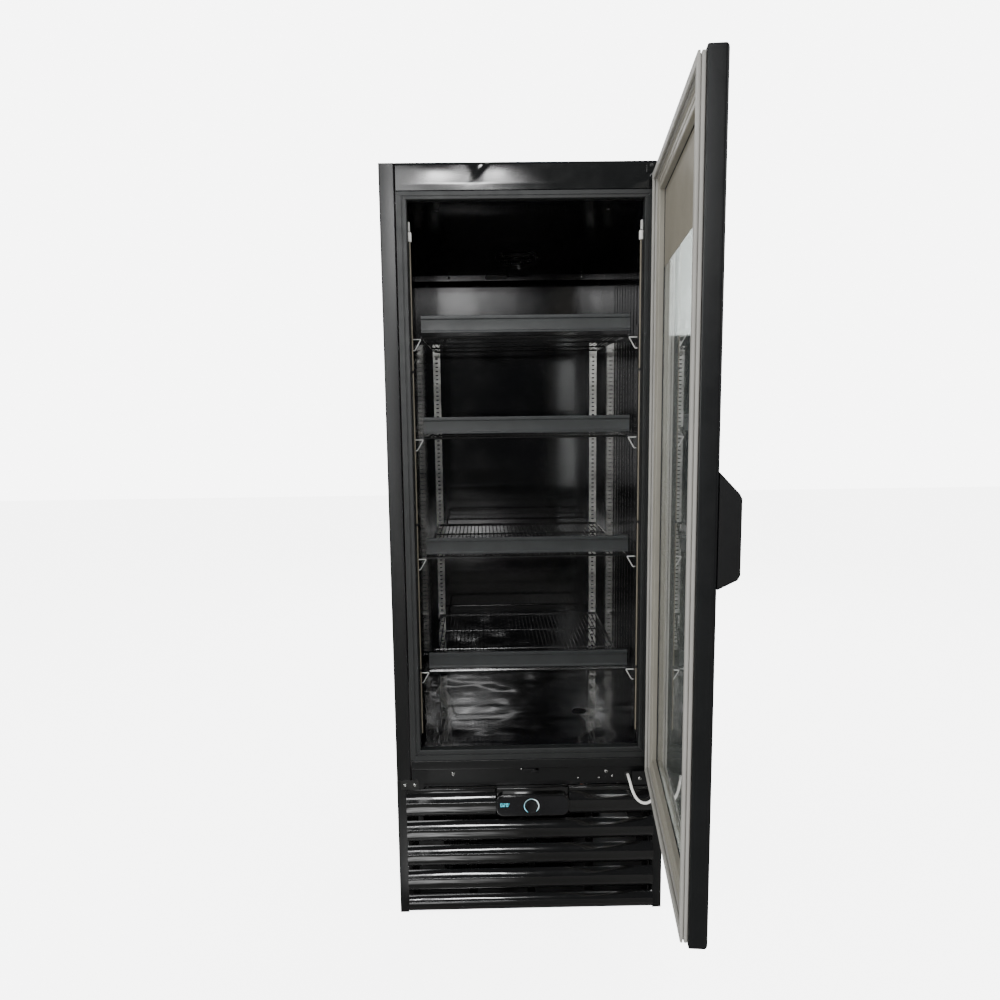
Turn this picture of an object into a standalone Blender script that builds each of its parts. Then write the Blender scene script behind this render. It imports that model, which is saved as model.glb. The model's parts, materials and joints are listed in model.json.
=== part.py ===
"""Single-door glass merchandiser: an upright bottom-mount display cooler with its door standing open.

Metres, +Z up, the cabinet's front faces -Y and the origin is the centre of its footprint on the floor.
Each physical piece is one closed object. The door pieces are modelled closed, in the frame of an empty that
lies on the hinge axis, and that empty then turns them to the open rest angle.
"""

from math import cos, pi, radians, sin

import bmesh
import bpy
from mathutils import Vector

# Driving dimensions of the cabinet
WIDTH = 0.657
DEPTH = 0.720
HEIGHT = 1.800
SHEET = 0.001
GAP = 0.0004
FLANGE_WIDTH = 0.036
HEADER_BOTTOM = 1.740
RAIL_TOP = 0.400
RAIL_STEP = 0.377
BASE_HEIGHT = 0.350

HALF = WIDTH / 2
FRONT = -DEPTH / 2
BACK = DEPTH / 2
FRONT_HALF = HALF - FLANGE_WIDTH - GAP
SHELL_HALF = HALF - SHEET - GAP

# The chilled compartment
LINER_HALF = 0.271
LINER_FLOOR = 0.428
LINER_CEILING = 1.745
LINER_DEPTH = 0.672
LINER_BACK = FRONT + LINER_DEPTH
OPENING_HALF = 0.267
OPENING_TOP = 1.721
BREAKER_DEPTH = 0.022

# Shelves and what carries them
SHELF_HEIGHTS = (1.425, 1.187, 0.893, 0.603)
SHELF_HALF = 0.2485
SHELF_FRONT = FRONT + 0.075
SHELF_REAR = FRONT + 0.645
SHELF_WIRE = 0.005
SHELF_LONG_WIRES = 9
SHELF_CROSS_WIRES = 4
PRICE_RAIL_HEIGHT = 0.040
PRICE_RAIL_LIFT = 0.010
PRICE_RAIL_HALF = 0.250
PILASTER_BOTTOM = 0.470
PILASTER_TOP = 1.450
PILASTER_WIDTH = 0.022
PILASTER_X = 0.2435

# The door, in the hinge frame: x runs to the hinge edge, y runs into the cabinet
HINGE_X = 0.305
HINGE_Y = FRONT - 0.029
DOOR_OPEN = radians(83.8)
DOOR_HINGE_EDGE = 0.020
DOOR_FREE_EDGE = -0.630
DOOR_INNER = 0.014
DOOR_OUTER = -0.018
DOOR_BOTTOM = 0.368
DOOR_TOP = 1.7726
DOOR_BORDER = 0.046
GASKET_FACE = 0.0272
GLASS_EDGE = 0.036
PIN_RADIUS = 0.004
PIN_DEPTH = 0.014

# The base and its louvred front
LOUVRE_COUNT = 5
LOUVRE_PITCH = 0.0655
LOUVRE_GAP = 0.0106
LOUVRE_GAP_TOP = 0.2495
LOUVRE_BULGE = 0.014
LOUVRE_FACE = FRONT - 0.012
GRILLE_BOTTOM = 0.003
GRILLE_TOP = 0.3265
GRILLE_HALF = 0.3061
RIB_PITCH = 0.133
PANEL_X = (-0.085, 0.095)
PANEL_Z = (0.260, 0.316)
DIAL_CENTRE = (0.002, 0.2875)

# Refrigeration
CONDENSER_FAN = (-0.050, 0.165)
EVAPORATOR_FAN = (0.0, FRONT + 0.460)
EVAPORATOR_FAN_HEIGHT = 1.700
COMPRESSOR_CENTRE = (0.130, BACK - 0.190)


# ---------------------------------------------------------------- materials

def material(name, colour, roughness, metallic=0.0, alpha=1.0):
    made = bpy.data.materials.new(name)
    made.use_nodes = True
    shader = made.node_tree.nodes["Principled BSDF"]
    shader.inputs["Base Color"].default_value = (*colour, 1.0)
    shader.inputs["Roughness"].default_value = roughness
    shader.inputs["Metallic"].default_value = metallic
    shader.inputs["Alpha"].default_value = alpha
    return made


# ---------------------------------------------------------------- shape helpers

def new_object(name, mesh_builder, finish=None, parent=None, origin=(0, 0, 0)):
    """Links one object whose mesh is given in its parent's frame, with its origin at a chosen point."""
    mesh = bpy.data.meshes.new(name)
    bmesh.ops.recalc_face_normals(mesh_builder, faces=mesh_builder.faces)
    bmesh.ops.translate(mesh_builder, verts=mesh_builder.verts, vec=-Vector(origin))
    mesh_builder.to_mesh(mesh)
    mesh_builder.free()
    made = bpy.data.objects.new(name, mesh)
    bpy.context.collection.objects.link(made)
    made.location = origin
    made.parent = parent
    if finish:
        mesh.materials.append(finish)
    return made


def add_box(builder, low, high):
    corners = bmesh.ops.create_cube(builder, size=1.0)["verts"]
    size = [b - a for a, b in zip(low, high)]
    centre = [(a + b) / 2 for a, b in zip(low, high)]
    bmesh.ops.scale(builder, verts=corners, vec=size)
    bmesh.ops.translate(builder, verts=corners, vec=centre)


def add_prism(builder, outline, axis, start, end):
    """An outline of two coordinates, extruded along the third one: axis is 0, 1 or 2."""
    others = [i for i in range(3) if i != axis]

    def point(pair, along):
        place = [0.0, 0.0, 0.0]
        place[others[0]], place[others[1]] = pair
        place[axis] = along
        return builder.verts.new(place)

    near = [point(pair, start) for pair in outline]
    far = [point(pair, end) for pair in outline]
    builder.faces.new(near)
    builder.faces.new(far)
    for i in range(len(outline)):
        j = (i + 1) % len(outline)
        builder.faces.new((near[i], near[j], far[j], far[i]))


def add_turned(builder, profile, axis, centre, segments):
    """Turns (radius, along) points about an axis; the first and last points lie on the axis."""
    others = [i for i in range(3) if i != axis]

    def point(radius, along, angle):
        place = list(centre)
        place[others[0]] += radius * cos(angle)
        place[others[1]] += radius * sin(angle)
        place[axis] += along
        return builder.verts.new(place)

    first = point(0.0, profile[0][1], 0.0)
    last = point(0.0, profile[-1][1], 0.0)
    angles = [2 * pi * i / segments for i in range(segments)]
    rings = [[point(radius, along, angle) for angle in angles] for radius, along in profile[1:-1]]
    for i in range(segments):
        j = (i + 1) % segments
        builder.faces.new((first, rings[0][i], rings[0][j]))
        builder.faces.new((last, rings[-1][j], rings[-1][i]))
        for lower, upper in zip(rings, rings[1:]):
            builder.faces.new((lower[i], upper[i], upper[j], lower[j]))


def disc_profile(radius, start, end):
    return [(0, start), (radius, start), (radius, end), (0, end)]


def boxes(name, ranges, finish=None, parent=None, origin=(0, 0, 0)):
    builder = bmesh.new()
    for low, high in ranges:
        add_box(builder, low, high)
    return new_object(name, builder, finish, parent, origin)


def box(name, low, high, finish, parent=None):
    centre = [(a + b) / 2 for a, b in zip(low, high)]
    return boxes(name, [(low, high)], finish, parent, centre)


def prism(name, outline, axis, start, end, finish, parent=None):
    builder = bmesh.new()
    add_prism(builder, outline, axis, start, end)
    return new_object(name, builder, finish, parent)


def turned(name, profile, axis, centre, finish=None, segments=24):
    builder = bmesh.new()
    add_turned(builder, profile, axis, centre, segments)
    made = new_object(name, builder, finish, None, centre)
    smooth(made)
    return made


def smooth(made, angle=40):
    made.data.shade_smooth()
    made.data.set_sharp_from_angle(angle=radians(angle))


def sheet_outline(points, thickness):
    """The closed outline of a folded sheet: a path, and the same path set off to its left."""
    path = [Vector(p) for p in points]
    normals = []
    for a, b in zip(path, path[1:]):
        along = (b - a).normalized()
        normals.append(Vector((-along.y, along.x)))
    offset = []
    for i, p in enumerate(path):
        before = normals[max(i - 1, 0)]
        after = normals[min(i, len(normals) - 1)]
        mitre = (before + after).normalized()
        offset.append(p + mitre * (thickness / mitre.dot(after)))
    return [tuple(p) for p in path] + [tuple(p) for p in reversed(offset)]


def rounded_rectangle(low, high, radius, steps=4):
    corners = [
        (high[0] - radius, high[1] - radius, 0.0),
        (low[0] + radius, high[1] - radius, 0.5 * pi),
        (low[0] + radius, low[1] + radius, pi),
        (high[0] - radius, low[1] + radius, 1.5 * pi),
    ]
    outline = []
    for x, y, start in corners:
        for i in range(steps + 1):
            angle = start + 0.5 * pi * i / steps
            outline.append((x + radius * cos(angle), y + radius * sin(angle)))
    return outline


def ring(name, outer, inner, profile, finish, parent=None):
    """A mitred frame in the XZ plane. outer and inner are (x0, z0, x1, z1); the profile's points are
    (share of the way from outer to inner, y)."""
    builder = bmesh.new()
    loops = []
    for ix, iz in ((0, 1), (2, 1), (2, 3), (0, 3)):
        loop = []
        for share, y in profile:
            x = outer[ix] + share * (inner[ix] - outer[ix])
            z = outer[iz] + share * (inner[iz] - outer[iz])
            loop.append(builder.verts.new((x, y, z)))
        loops.append(loop)
    for near, far in zip(loops, loops[1:] + loops[:1]):
        for i in range(len(profile)):
            j = (i + 1) % len(profile)
            builder.faces.new((near[i], near[j], far[j], far[i]))
    return new_object(name, builder, finish, parent)


def hidden_helper(made):
    made.hide_render = True
    made.display_type = "WIRE"
    return made


def combine(target, helper, operation):
    hidden_helper(helper)
    modifier = target.modifiers.new(operation.title(), "BOOLEAN")
    modifier.operation = operation
    modifier.solver = "EXACT"
    modifier.object = helper


def cut(target, helper):
    combine(target, helper, "DIFFERENCE")


def join(target, helper):
    combine(target, helper, "UNION")


def mirrored(side, outline):
    return [(side * x, y) for x, y in outline]


# ---------------------------------------------------------------- cabinet shell

def build_shell(shell, header):
    for side, word in ((-1, "left"), (1, "right")):
        fold = [
            (HALF, FRONT),
            (HALF - FLANGE_WIDTH, FRONT),
            (HALF - FLANGE_WIDTH, FRONT + SHEET),
            (HALF - SHEET, FRONT + SHEET),
            (HALF - SHEET, BACK),
            (HALF, BACK),
        ]
        prism("side_panel_" + word, mirrored(side, fold), 2, BASE_HEIGHT + GAP, HEIGHT, shell)
    top_front = FRONT + SHEET + GAP
    top_back = BACK - SHEET - GAP
    box("top_panel", (-SHELL_HALF, top_front, HEIGHT - SHEET), (SHELL_HALF, top_back, HEIGHT), shell)
    box("back_panel", (-SHELL_HALF, BACK - SHEET, BASE_HEIGHT + GAP), (SHELL_HALF, BACK, HEIGHT), shell)
    header_return = 0.015
    header_fold = sheet_outline(
        [(FRONT + header_return, HEADER_BOTTOM), (FRONT, HEADER_BOTTOM), (FRONT, HEIGHT)], -SHEET
    )
    prism("header_panel", header_fold, 0, -FRONT_HALF, FRONT_HALF, header)


def build_bottom_rail(shell):
    """The flat rail under the opening, folded back into the recessed kick strip above the grille."""
    kick_recess = 0.012
    fold = sheet_outline(
        [
            (FRONT, RAIL_TOP),
            (FRONT, RAIL_STEP),
            (FRONT + kick_recess, RAIL_STEP),
            (FRONT + kick_recess, GRILLE_TOP + 0.0015),
        ],
        SHEET,
    )
    prism("bottom_rail", fold, 0, -FRONT_HALF, FRONT_HALF, shell)


def build_liner(liner):
    front = FRONT + BREAKER_DEPTH + GAP
    rear = LINER_BACK - GAP
    wide = LINER_HALF + SHEET
    for side, word in ((-1, "left"), (1, "right")):
        low_x, high_x = sorted((side * LINER_HALF, side * wide))
        box(
            "liner_" + word,
            (low_x, front, LINER_FLOOR + GAP),
            (high_x, rear, LINER_CEILING - GAP),
            liner,
        )
    box("liner_floor", (-wide, front, LINER_FLOOR - SHEET), (wide, rear, LINER_FLOOR), liner)
    box("liner_ceiling", (-wide, front, LINER_CEILING), (wide, rear, LINER_CEILING + SHEET), liner)
    box(
        "liner_back",
        (-wide, LINER_BACK, LINER_FLOOR - SHEET),
        (wide, LINER_BACK + SHEET, LINER_CEILING + SHEET),
        liner,
    )


def build_breaker_frame(trim):
    face = 0.003
    wall_share = 0.12
    profile = [
        (0, FRONT),
        (1, FRONT),
        (1, FRONT + BREAKER_DEPTH),
        (1 - wall_share, FRONT + BREAKER_DEPTH),
        (1 - wall_share, FRONT + face),
        (0, FRONT + face),
    ]
    outer = (-FRONT_HALF, RAIL_TOP + GAP, FRONT_HALF, HEADER_BOTTOM - GAP)
    inner = (-OPENING_HALF, LINER_FLOOR, OPENING_HALF, OPENING_TOP)
    ring("breaker_frame", outer, inner, profile, trim)


# ---------------------------------------------------------------- inside the compartment

def grid_mesh(x_edges, y_edges, is_open, low, high):
    """A flat plate made of rectangular cells, with some cells left open, as one closed solid."""
    builder = bmesh.new()
    corners = {}

    def corner(i, j, top):
        key = (i, j, top)
        if key not in corners:
            corners[key] = builder.verts.new((x_edges[i], y_edges[j], high if top else low))
        return corners[key]

    columns = len(x_edges) - 1
    rows = len(y_edges) - 1
    solid = {(i, j) for i in range(columns) for j in range(rows) if not is_open(i, j)}
    for i, j in sorted(solid):
        around = ((i, j), (i + 1, j), (i + 1, j + 1), (i, j + 1))
        for top in (True, False):
            builder.faces.new([corner(*place, top) for place in around])
        neighbours = ((i, j - 1), (i + 1, j), (i, j + 1), (i - 1, j))
        for k, neighbour in enumerate(neighbours):
            if neighbour not in solid:
                a = around[k]
                b = around[(k + 1) % 4]
                wall = (corner(*a, True), corner(*b, True), corner(*b, False), corner(*a, False))
                builder.faces.new(wall)
    return builder


def wire_edges(first, last, count, width):
    """The two edges of each of a row of evenly spaced wires."""
    step = (last - first - width) / (count - 1)
    edges = []
    for i in range(count):
        edges.extend((first + i * step, first + i * step + width))
    return edges


def build_shelves(wire, rail):
    x_edges = wire_edges(-SHELF_HALF, SHELF_HALF, SHELF_LONG_WIRES, SHELF_WIRE)
    y_edges = wire_edges(SHELF_FRONT, SHELF_REAR, SHELF_CROSS_WIRES, SHELF_WIRE)
    for number, height in enumerate(SHELF_HEIGHTS, start=1):
        low = height - SHELF_WIRE / 2
        high = height + SHELF_WIRE / 2
        deck = grid_mesh(x_edges, y_edges, lambda i, j: i % 2 == 1 and j % 2 == 1, low, high)
        new_object(f"shelf_{number}", deck, wire, None, (0, SHELF_REAR, height))
        build_price_rail(number, height, rail)


def build_price_rail(number, shelf_height, rail):
    face = SHELF_FRONT - 0.009
    bottom = shelf_height + PRICE_RAIL_LIFT
    top = bottom + PRICE_RAIL_HEIGHT
    wall = 0.0015
    hook = 0.006
    fold = sheet_outline(
        [(face + hook, bottom), (face, bottom), (face, top), (face + hook + wall, top)], -wall
    )
    prism(f"price_rail_{number}", fold, 0, -PRICE_RAIL_HALF, PRICE_RAIL_HALF, rail)


def build_pilasters(zinc, black):
    wall = 0.0012
    deep = 0.010
    face = LINER_BACK - GAP
    for side, word in ((-1, "left"), (1, "right")):
        low_x = side * PILASTER_X - PILASTER_WIDTH / 2
        high_x = low_x + PILASTER_WIDTH
        channel = sheet_outline(
            [(low_x, face), (low_x, face - deep), (high_x, face - deep), (high_x, face)], wall
        )
        prism(f"pilaster_rear_{word}", channel, 2, PILASTER_BOTTOM, PILASTER_TOP, zinc)
        thick = 0.003
        near, far = sorted((side * (LINER_HALF - GAP), side * (LINER_HALF - GAP - thick)))
        low = (near, FRONT + 0.066, PILASTER_BOTTOM)
        high = (far, FRONT + 0.066 + PILASTER_WIDTH, PILASTER_TOP)
        box(f"pilaster_front_{word}", low, high, black)


def build_led_strips(cream):
    """A slim light bar up each front corner, with a wider connector near its top."""
    outer = LINER_HALF - GAP
    front = FRONT + 0.024
    for side, word in ((-1, "left"), (1, "right")):
        near, far = sorted((side * outer, side * (outer - 0.008)))
        strip = box(f"led_strip_{word}", (near, front, 0.457), (far, front + 0.007, 1.690), cream)
        near, far = sorted((side * (outer - 0.0005), side * (outer - 0.011)))
        plug = ((near, front - 0.001, 1.636), (far, front + 0.009, 1.656))
        join(strip, boxes("led_plug_" + word, [plug]))


# ---------------------------------------------------------------- door

def mitred_bar(name, outer, inner, profile, corners, finish, parent, inset=GAP):
    """One side of a mitred frame: a closed bar between two corners, short of each mitre by the inset."""
    builder = bmesh.new()
    slices = []
    for number, (ix, iz) in enumerate(corners):
        loop = []
        for share, y in profile:
            x = outer[ix] + share * (inner[ix] - outer[ix])
            z = outer[iz] + share * (inner[iz] - outer[iz])
            loop.append(Vector((x, y, z)))
        slices.append(loop)
    along = (slices[1][0] - slices[0][0]).normalized()
    near = [builder.verts.new(p + along * inset) for p in slices[0]]
    far = [builder.verts.new(p - along * inset) for p in slices[1]]
    builder.faces.new(near)
    builder.faces.new(far)
    for i in range(len(profile)):
        j = (i + 1) % len(profile)
        builder.faces.new((near[i], near[j], far[j], far[i]))
    return new_object(name, builder, finish, parent)


def build_door_frame(hinge, black):
    """Four mitred hollow extrusions with a lip over the edge of the outer glass."""
    outer = (DOOR_FREE_EDGE, DOOR_BOTTOM, DOOR_HINGE_EDGE, DOOR_TOP)
    inner = (
        DOOR_FREE_EDGE + DOOR_BORDER,
        DOOR_BOTTOM + DOOR_BORDER,
        DOOR_HINGE_EDGE - DOOR_BORDER,
        DOOR_TOP - DOOR_BORDER,
    )
    round_off = 0.05
    lip_back = DOOR_OUTER + 0.0032
    pocket = (GLASS_EDGE - 0.0006) / DOOR_BORDER
    corner_softening = 0.0025
    profile = [
        (0, DOOR_INNER),
        (0, DOOR_OUTER + corner_softening),
        (round_off, DOOR_OUTER),
        (1, DOOR_OUTER),
        (1, lip_back),
        (pocket, lip_back),
        (pocket, DOOR_INNER),
    ]
    wall = 0.0025
    wall_share = wall / DOOR_BORDER
    chamber = [
        (wall_share, lip_back),
        (pocket - wall_share, lip_back),
        (pocket - wall_share, DOOR_INNER - wall),
        (wall_share, DOOR_INNER - wall),
    ]
    sides = {
        "door_stile_free": ((0, 1), (0, 3)),
        "door_stile_hinge": ((2, 1), (2, 3)),
        "door_rail_bottom": ((0, 1), (2, 1)),
        "door_rail_top": ((0, 3), (2, 3)),
    }
    past_the_mitre = -0.004
    for name, corners in sides.items():
        bar = mitred_bar(name, outer, inner, profile, corners, black, hinge)
        hollow = mitred_bar(name + "_chamber", outer, inner, chamber, corners, None, hinge, past_the_mitre)
        cut(bar, hollow)
        if name == "door_rail_bottom":
            drill_pin_hole(bar, hinge, DOOR_BOTTOM)
        if name == "door_rail_top":
            drill_pin_hole(bar, hinge, DOOR_TOP)


def drill_pin_hole(rail, hinge, edge):
    """The hole for a hinge pin through the outer wall of the top or bottom rail."""
    reach = 0.010
    builder = bmesh.new()
    add_turned(builder, disc_profile(PIN_RADIUS + 0.0008, edge - reach, edge + reach), 2, (0, 0, 0), 16)
    cut(rail, new_object(rail.name + "_pin_hole", builder, None, hinge))


def build_door_trim(hinge, pvc, gasket_grey):
    """The inner liner that holds the glass, and the magnetic gasket outside it."""
    face = DOOR_INNER + GAP
    gasket_outer = (DOOR_FREE_EDGE + 0.006, DOOR_BOTTOM + 0.006, 0.006, DOOR_TOP - 0.006)
    gasket_width = 0.016
    gasket_inner = (
        gasket_outer[0] + gasket_width,
        gasket_outer[1] + gasket_width,
        gasket_outer[2] - gasket_width,
        gasket_outer[3] - gasket_width,
    )
    neck = DOOR_INNER + 0.005
    bellows = [
        (0.05, face),
        (0.30, neck),
        (0.0, neck + 0.0025),
        (0.0, GASKET_FACE - 0.001),
        (0.10, GASKET_FACE),
        (0.90, GASKET_FACE),
        (1.0, GASKET_FACE - 0.001),
        (1.0, neck + 0.0025),
        (0.70, neck),
        (0.95, face),
    ]
    ring("door_gasket", gasket_outer, gasket_inner, bellows, gasket_grey, hinge)
    gap = 0.0005
    liner_outer = (
        gasket_inner[0] + gap,
        gasket_inner[1] + gap,
        gasket_inner[2] - gap,
        gasket_inner[3] - gap,
    )
    liner_inner = (
        DOOR_FREE_EDGE + DOOR_BORDER + 0.002,
        DOOR_BOTTOM + DOOR_BORDER + 0.002,
        DOOR_HINGE_EDGE - DOOR_BORDER - 0.002,
        DOOR_TOP - DOOR_BORDER - 0.002,
    )
    glass_face = 0.0016 + GAP
    leg = 0.53
    step = 0.30
    liner_profile = [
        (0, face),
        (0, DOOR_INNER + 0.0035),
        (step, DOOR_INNER + 0.0035),
        (step + 0.08, DOOR_INNER + 0.0024),
        (1 - 0.08, DOOR_INNER + 0.0008),
        (1, DOOR_INNER - 0.0012),
        (1, glass_face),
        (leg, glass_face),
        (leg, face),
    ]
    ring("door_liner", liner_outer, liner_inner, liner_profile, pvc, hinge)


def build_glass(hinge, glass, spacer_metal):
    edges = (
        DOOR_FREE_EDGE + GLASS_EDGE,
        DOOR_BOTTOM + GLASS_EDGE,
        DOOR_HINGE_EDGE - GLASS_EDGE,
        DOOR_TOP - GLASS_EDGE,
    )
    pane = 0.004
    outer_front = DOOR_OUTER + 0.0036
    inner_back = 0.0016
    for name, start in (("glass_outer", outer_front), ("glass_inner", inner_back - pane)):
        box(name, (edges[0], start, edges[1]), (edges[2], start + pane, edges[3]), glass, hinge)
    rim = 0.011
    inside = (edges[0] + rim, edges[1] + rim, edges[2] - rim, edges[3] - rim)
    start = outer_front + pane + GAP
    end = inner_back - pane - GAP
    section = [(0.1, start), (1, start), (1, end), (0.1, end)]
    ring("glass_spacer", edges, inside, section, spacer_metal, hinge)


def build_handle(hinge, black):
    """A moulded block pull near the free edge, with a finger recess that opens towards the hinge."""
    base = DOOR_OUTER - GAP
    face = base - 0.0346
    low, high = 0.976, 1.160
    slope_low, slope_high = 0.020, 0.037
    near_edge, far_edge = -0.628, -0.586
    outline = [
        (base, low),
        (base, high),
        (face + 0.004, high - slope_high + 0.004),
        (face, high - slope_high - 0.004),
        (face, low + slope_low + 0.004),
        (face + 0.004, low + slope_low - 0.004),
    ]
    handle = prism("door_handle", outline, 0, near_edge, far_edge, black, hinge)
    recess_wall = 0.007
    recess_low = (near_edge + recess_wall, face + recess_wall, low + 0.032)
    recess_high = (far_edge + 0.01, base - recess_wall, high - 0.046)
    cut(handle, boxes("handle_recess", [(recess_low, recess_high)], None, hinge))


def build_hinge_brackets(black, zinc):
    """Folded brackets with riveted pins that reach into the top and bottom of the hinge stile."""
    plate = 0.003
    face = FRONT - GAP
    reach = HINGE_Y - 0.018
    right = HALF - 0.010
    pins = {
        "lower": (0.252, 0.330, DOOR_BOTTOM - 0.004, 0.286, DOOR_BOTTOM + PIN_DEPTH - 0.002),
        "upper": (0.270, HEIGHT - 0.002, DOOR_TOP + 0.0034 + plate, 0.286, DOOR_TOP - PIN_DEPTH + 0.002),
    }
    for word, (left, far_z, tongue_top, tongue_left, pin_tip) in pins.items():
        tongue_low = tongue_top - plate
        low_z = min(far_z, tongue_low - 0.001)
        high_z = max(far_z, tongue_top + 0.001)
        bracket = boxes(
            "hinge_bracket_" + word,
            [((left, face - plate, low_z), (right, face, high_z))],
            black,
        )
        tongue = boxes(
            "tongue_" + word,
            [((tongue_left, reach, tongue_low), (right - 0.0015, face - plate / 2, tongue_top))],
        )
        join(bracket, tongue)
        start = tongue_low + plate / 2
        pin = turned(
            "pin_" + word,
            disc_profile(PIN_RADIUS, min(start, pin_tip), max(start, pin_tip)),
            2,
            (HINGE_X, HINGE_Y, 0),
            segments=16,
        )
        join(bracket, pin)
    spare_low = (-HALF + 0.010, FRONT - GAP - 0.002, GRILLE_TOP + 0.001)
    spare_high = (-0.2745, FRONT - GAP, 0.352)
    box("hinge_bracket_spare", spare_low, spare_high, zinc)


def lead_route():
    """The drooping lead, from its grommet in the kick strip to the underside of the lower hinge."""
    return [
        (0.2430, FRONT + 0.0085, 0.3520),
        (0.2432, FRONT - 0.0020, 0.3505),
        (0.2450, FRONT - 0.0130, 0.3420),
        (0.2490, FRONT - 0.0210, 0.3260),
        (0.2570, FRONT - 0.0265, 0.3090),
        (0.2690, FRONT - 0.0290, 0.2980),
        (0.2830, FRONT - 0.0292, 0.2955),
        (0.2950, FRONT - 0.0290, 0.3025),
        (0.3020, FRONT - 0.0290, 0.3170),
        (0.3046, FRONT - 0.0290, 0.3360),
        (0.3050, FRONT - 0.0290, 0.3606),
    ]


def smooth_route(points, steps):
    """Points along a Catmull-Rom curve through the route."""
    path = [Vector(p) for p in points]
    path = [2 * path[0] - path[1]] + path + [2 * path[-1] - path[-2]]
    made = []
    for a, b, c, d in zip(path, path[1:], path[2:], path[3:]):
        for i in range(steps):
            t = i / steps
            square = 2 * a - 5 * b + 4 * c - d
            cube = 3 * b - a - 3 * c + d
            made.append(0.5 * (2 * b + (c - a) * t + square * t**2 + cube * t**3))
    made.append(path[-2])
    return made


def tube(name, points, radius, finish):
    curve = bpy.data.curves.new(name, "CURVE")
    curve.dimensions = "3D"
    curve.bevel_depth = radius
    curve.bevel_resolution = 2
    curve.use_fill_caps = True
    spline = curve.splines.new("POLY")
    spline.points.add(len(points) - 1)
    for slot, place in zip(spline.points, points):
        slot.co = (*place, 1.0)
    curve.materials.append(finish)
    made = bpy.data.objects.new(name, curve)
    bpy.context.collection.objects.link(made)
    return made


def build_lead(white, rubber):
    tube("door_lead", smooth_route(lead_route(), 2), 0.00325, white)
    kick_face = FRONT + 0.012 - GAP
    turned(
        "lead_grommet",
        disc_profile(0.0075, 0.0, -0.0027),
        1,
        (0.2430, kick_face, 0.3520),
        rubber,
        16,
    )


# ---------------------------------------------------------------- base

def build_base(shell):
    column = 0.022
    for side, word in ((-1, "left"), (1, "right")):
        fold = [
            (HALF, FRONT),
            (HALF - column, FRONT),
            (HALF - column, FRONT + SHEET),
            (HALF - SHEET, FRONT + SHEET),
            (HALF - SHEET, BACK),
            (HALF, BACK),
        ]
        panel = prism("base_side_" + word, mirrored(side, fold), 2, GAP, BASE_HEIGHT - GAP, shell)
        cut(panel, vent_cutter("vents_" + word, side * HALF))
    tray_back = BACK - 0.030
    tray_sheet = 0.002
    fold = sheet_outline([(FRONT + 0.024, 0.0), (tray_back, 0.0), (tray_back, 0.060)], tray_sheet)
    prism("base_tray", fold, 0, -SHELL_HALF, SHELL_HALF, shell)


def vent_cutter(name, x):
    """A stack of ventilation slots near the rear of a base side."""
    slots = []
    for i in range(6):
        z = 0.110 + 0.026 * i
        slots.append(((x - 0.01, 0.150, z), (x + 0.01, 0.290, z + 0.007)))
    return boxes(name, slots)


def louvre_heights():
    """The bottom and top of each blade, from the top blade down."""
    gaps = [LOUVRE_GAP_TOP - i * LOUVRE_PITCH for i in range(LOUVRE_COUNT - 1)]
    tops = [GRILLE_TOP - 0.0085] + [gap - LOUVRE_GAP / 2 for gap in gaps]
    bottoms = [gap + LOUVRE_GAP / 2 for gap in gaps] + [GRILLE_BOTTOM]
    return list(zip(bottoms, tops))


def louvre_outline(bottom, top, steps=6):
    """A blade's section in YZ: an arc that bulges to the front, and the same arc one wall further in."""
    chord = top - bottom
    radius = (chord**2 / 4 + LOUVRE_BULGE**2) / (2 * LOUVRE_BULGE)
    centre_y = LOUVRE_FACE + radius
    centre_z = (bottom + top) / 2
    wall = 0.0025
    outline = []
    for side, r in ((1, radius), (-1, radius - wall)):
        for i in range(steps + 1):
            height = side * (i / steps - 0.5) * chord * r / radius
            outline.append((centre_y - (r**2 - height**2) ** 0.5, centre_z + height))
    return outline


def build_grille(gloss):
    builder = bmesh.new()
    for bottom, top in louvre_heights():
        add_prism(builder, louvre_outline(bottom, top), 0, -GRILLE_HALF + 0.0005, GRILLE_HALF - 0.0005)
    blades = new_object("grille_blades", builder)
    back = FRONT + 0.020
    end_plate = 0.0016
    rib_bottom = GRILLE_BOTTOM + 0.0012
    cap_front = FRONT - 0.001
    cap_back = FRONT + 0.0108
    grille = boxes(
        "louvre_grille",
        [((-GRILLE_HALF, cap_front, GRILLE_TOP - 0.010), (GRILLE_HALF, cap_back, GRILLE_TOP))],
        gloss,
    )
    ribs = []
    for i in range(-2, 3):
        x = i * RIB_PITCH
        low = (x - 0.0015, FRONT + 0.001, rib_bottom)
        high = (x + 0.0015, back - 0.002, GRILLE_TOP - 0.002)
        ribs.append((low, high))
    for side in (-1, 1):
        low, high = sorted((side * GRILLE_HALF, side * (GRILLE_HALF - end_plate)))
        ribs.append(((low, FRONT + 0.0013, rib_bottom), (high, back, GRILLE_TOP - 0.001)))
    join(grille, boxes("grille_ribs", ribs))
    join(grille, blades)
    pocket_low = (PANEL_X[0] - 0.0005, FRONT - 0.030, PANEL_Z[0] - 0.0005)
    pocket_high = (PANEL_X[1] + 0.0005, FRONT + 0.0112, GRILLE_TOP + 0.002)
    cut(grille, boxes("grille_pocket", [(pocket_low, pocket_high)]))


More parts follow.
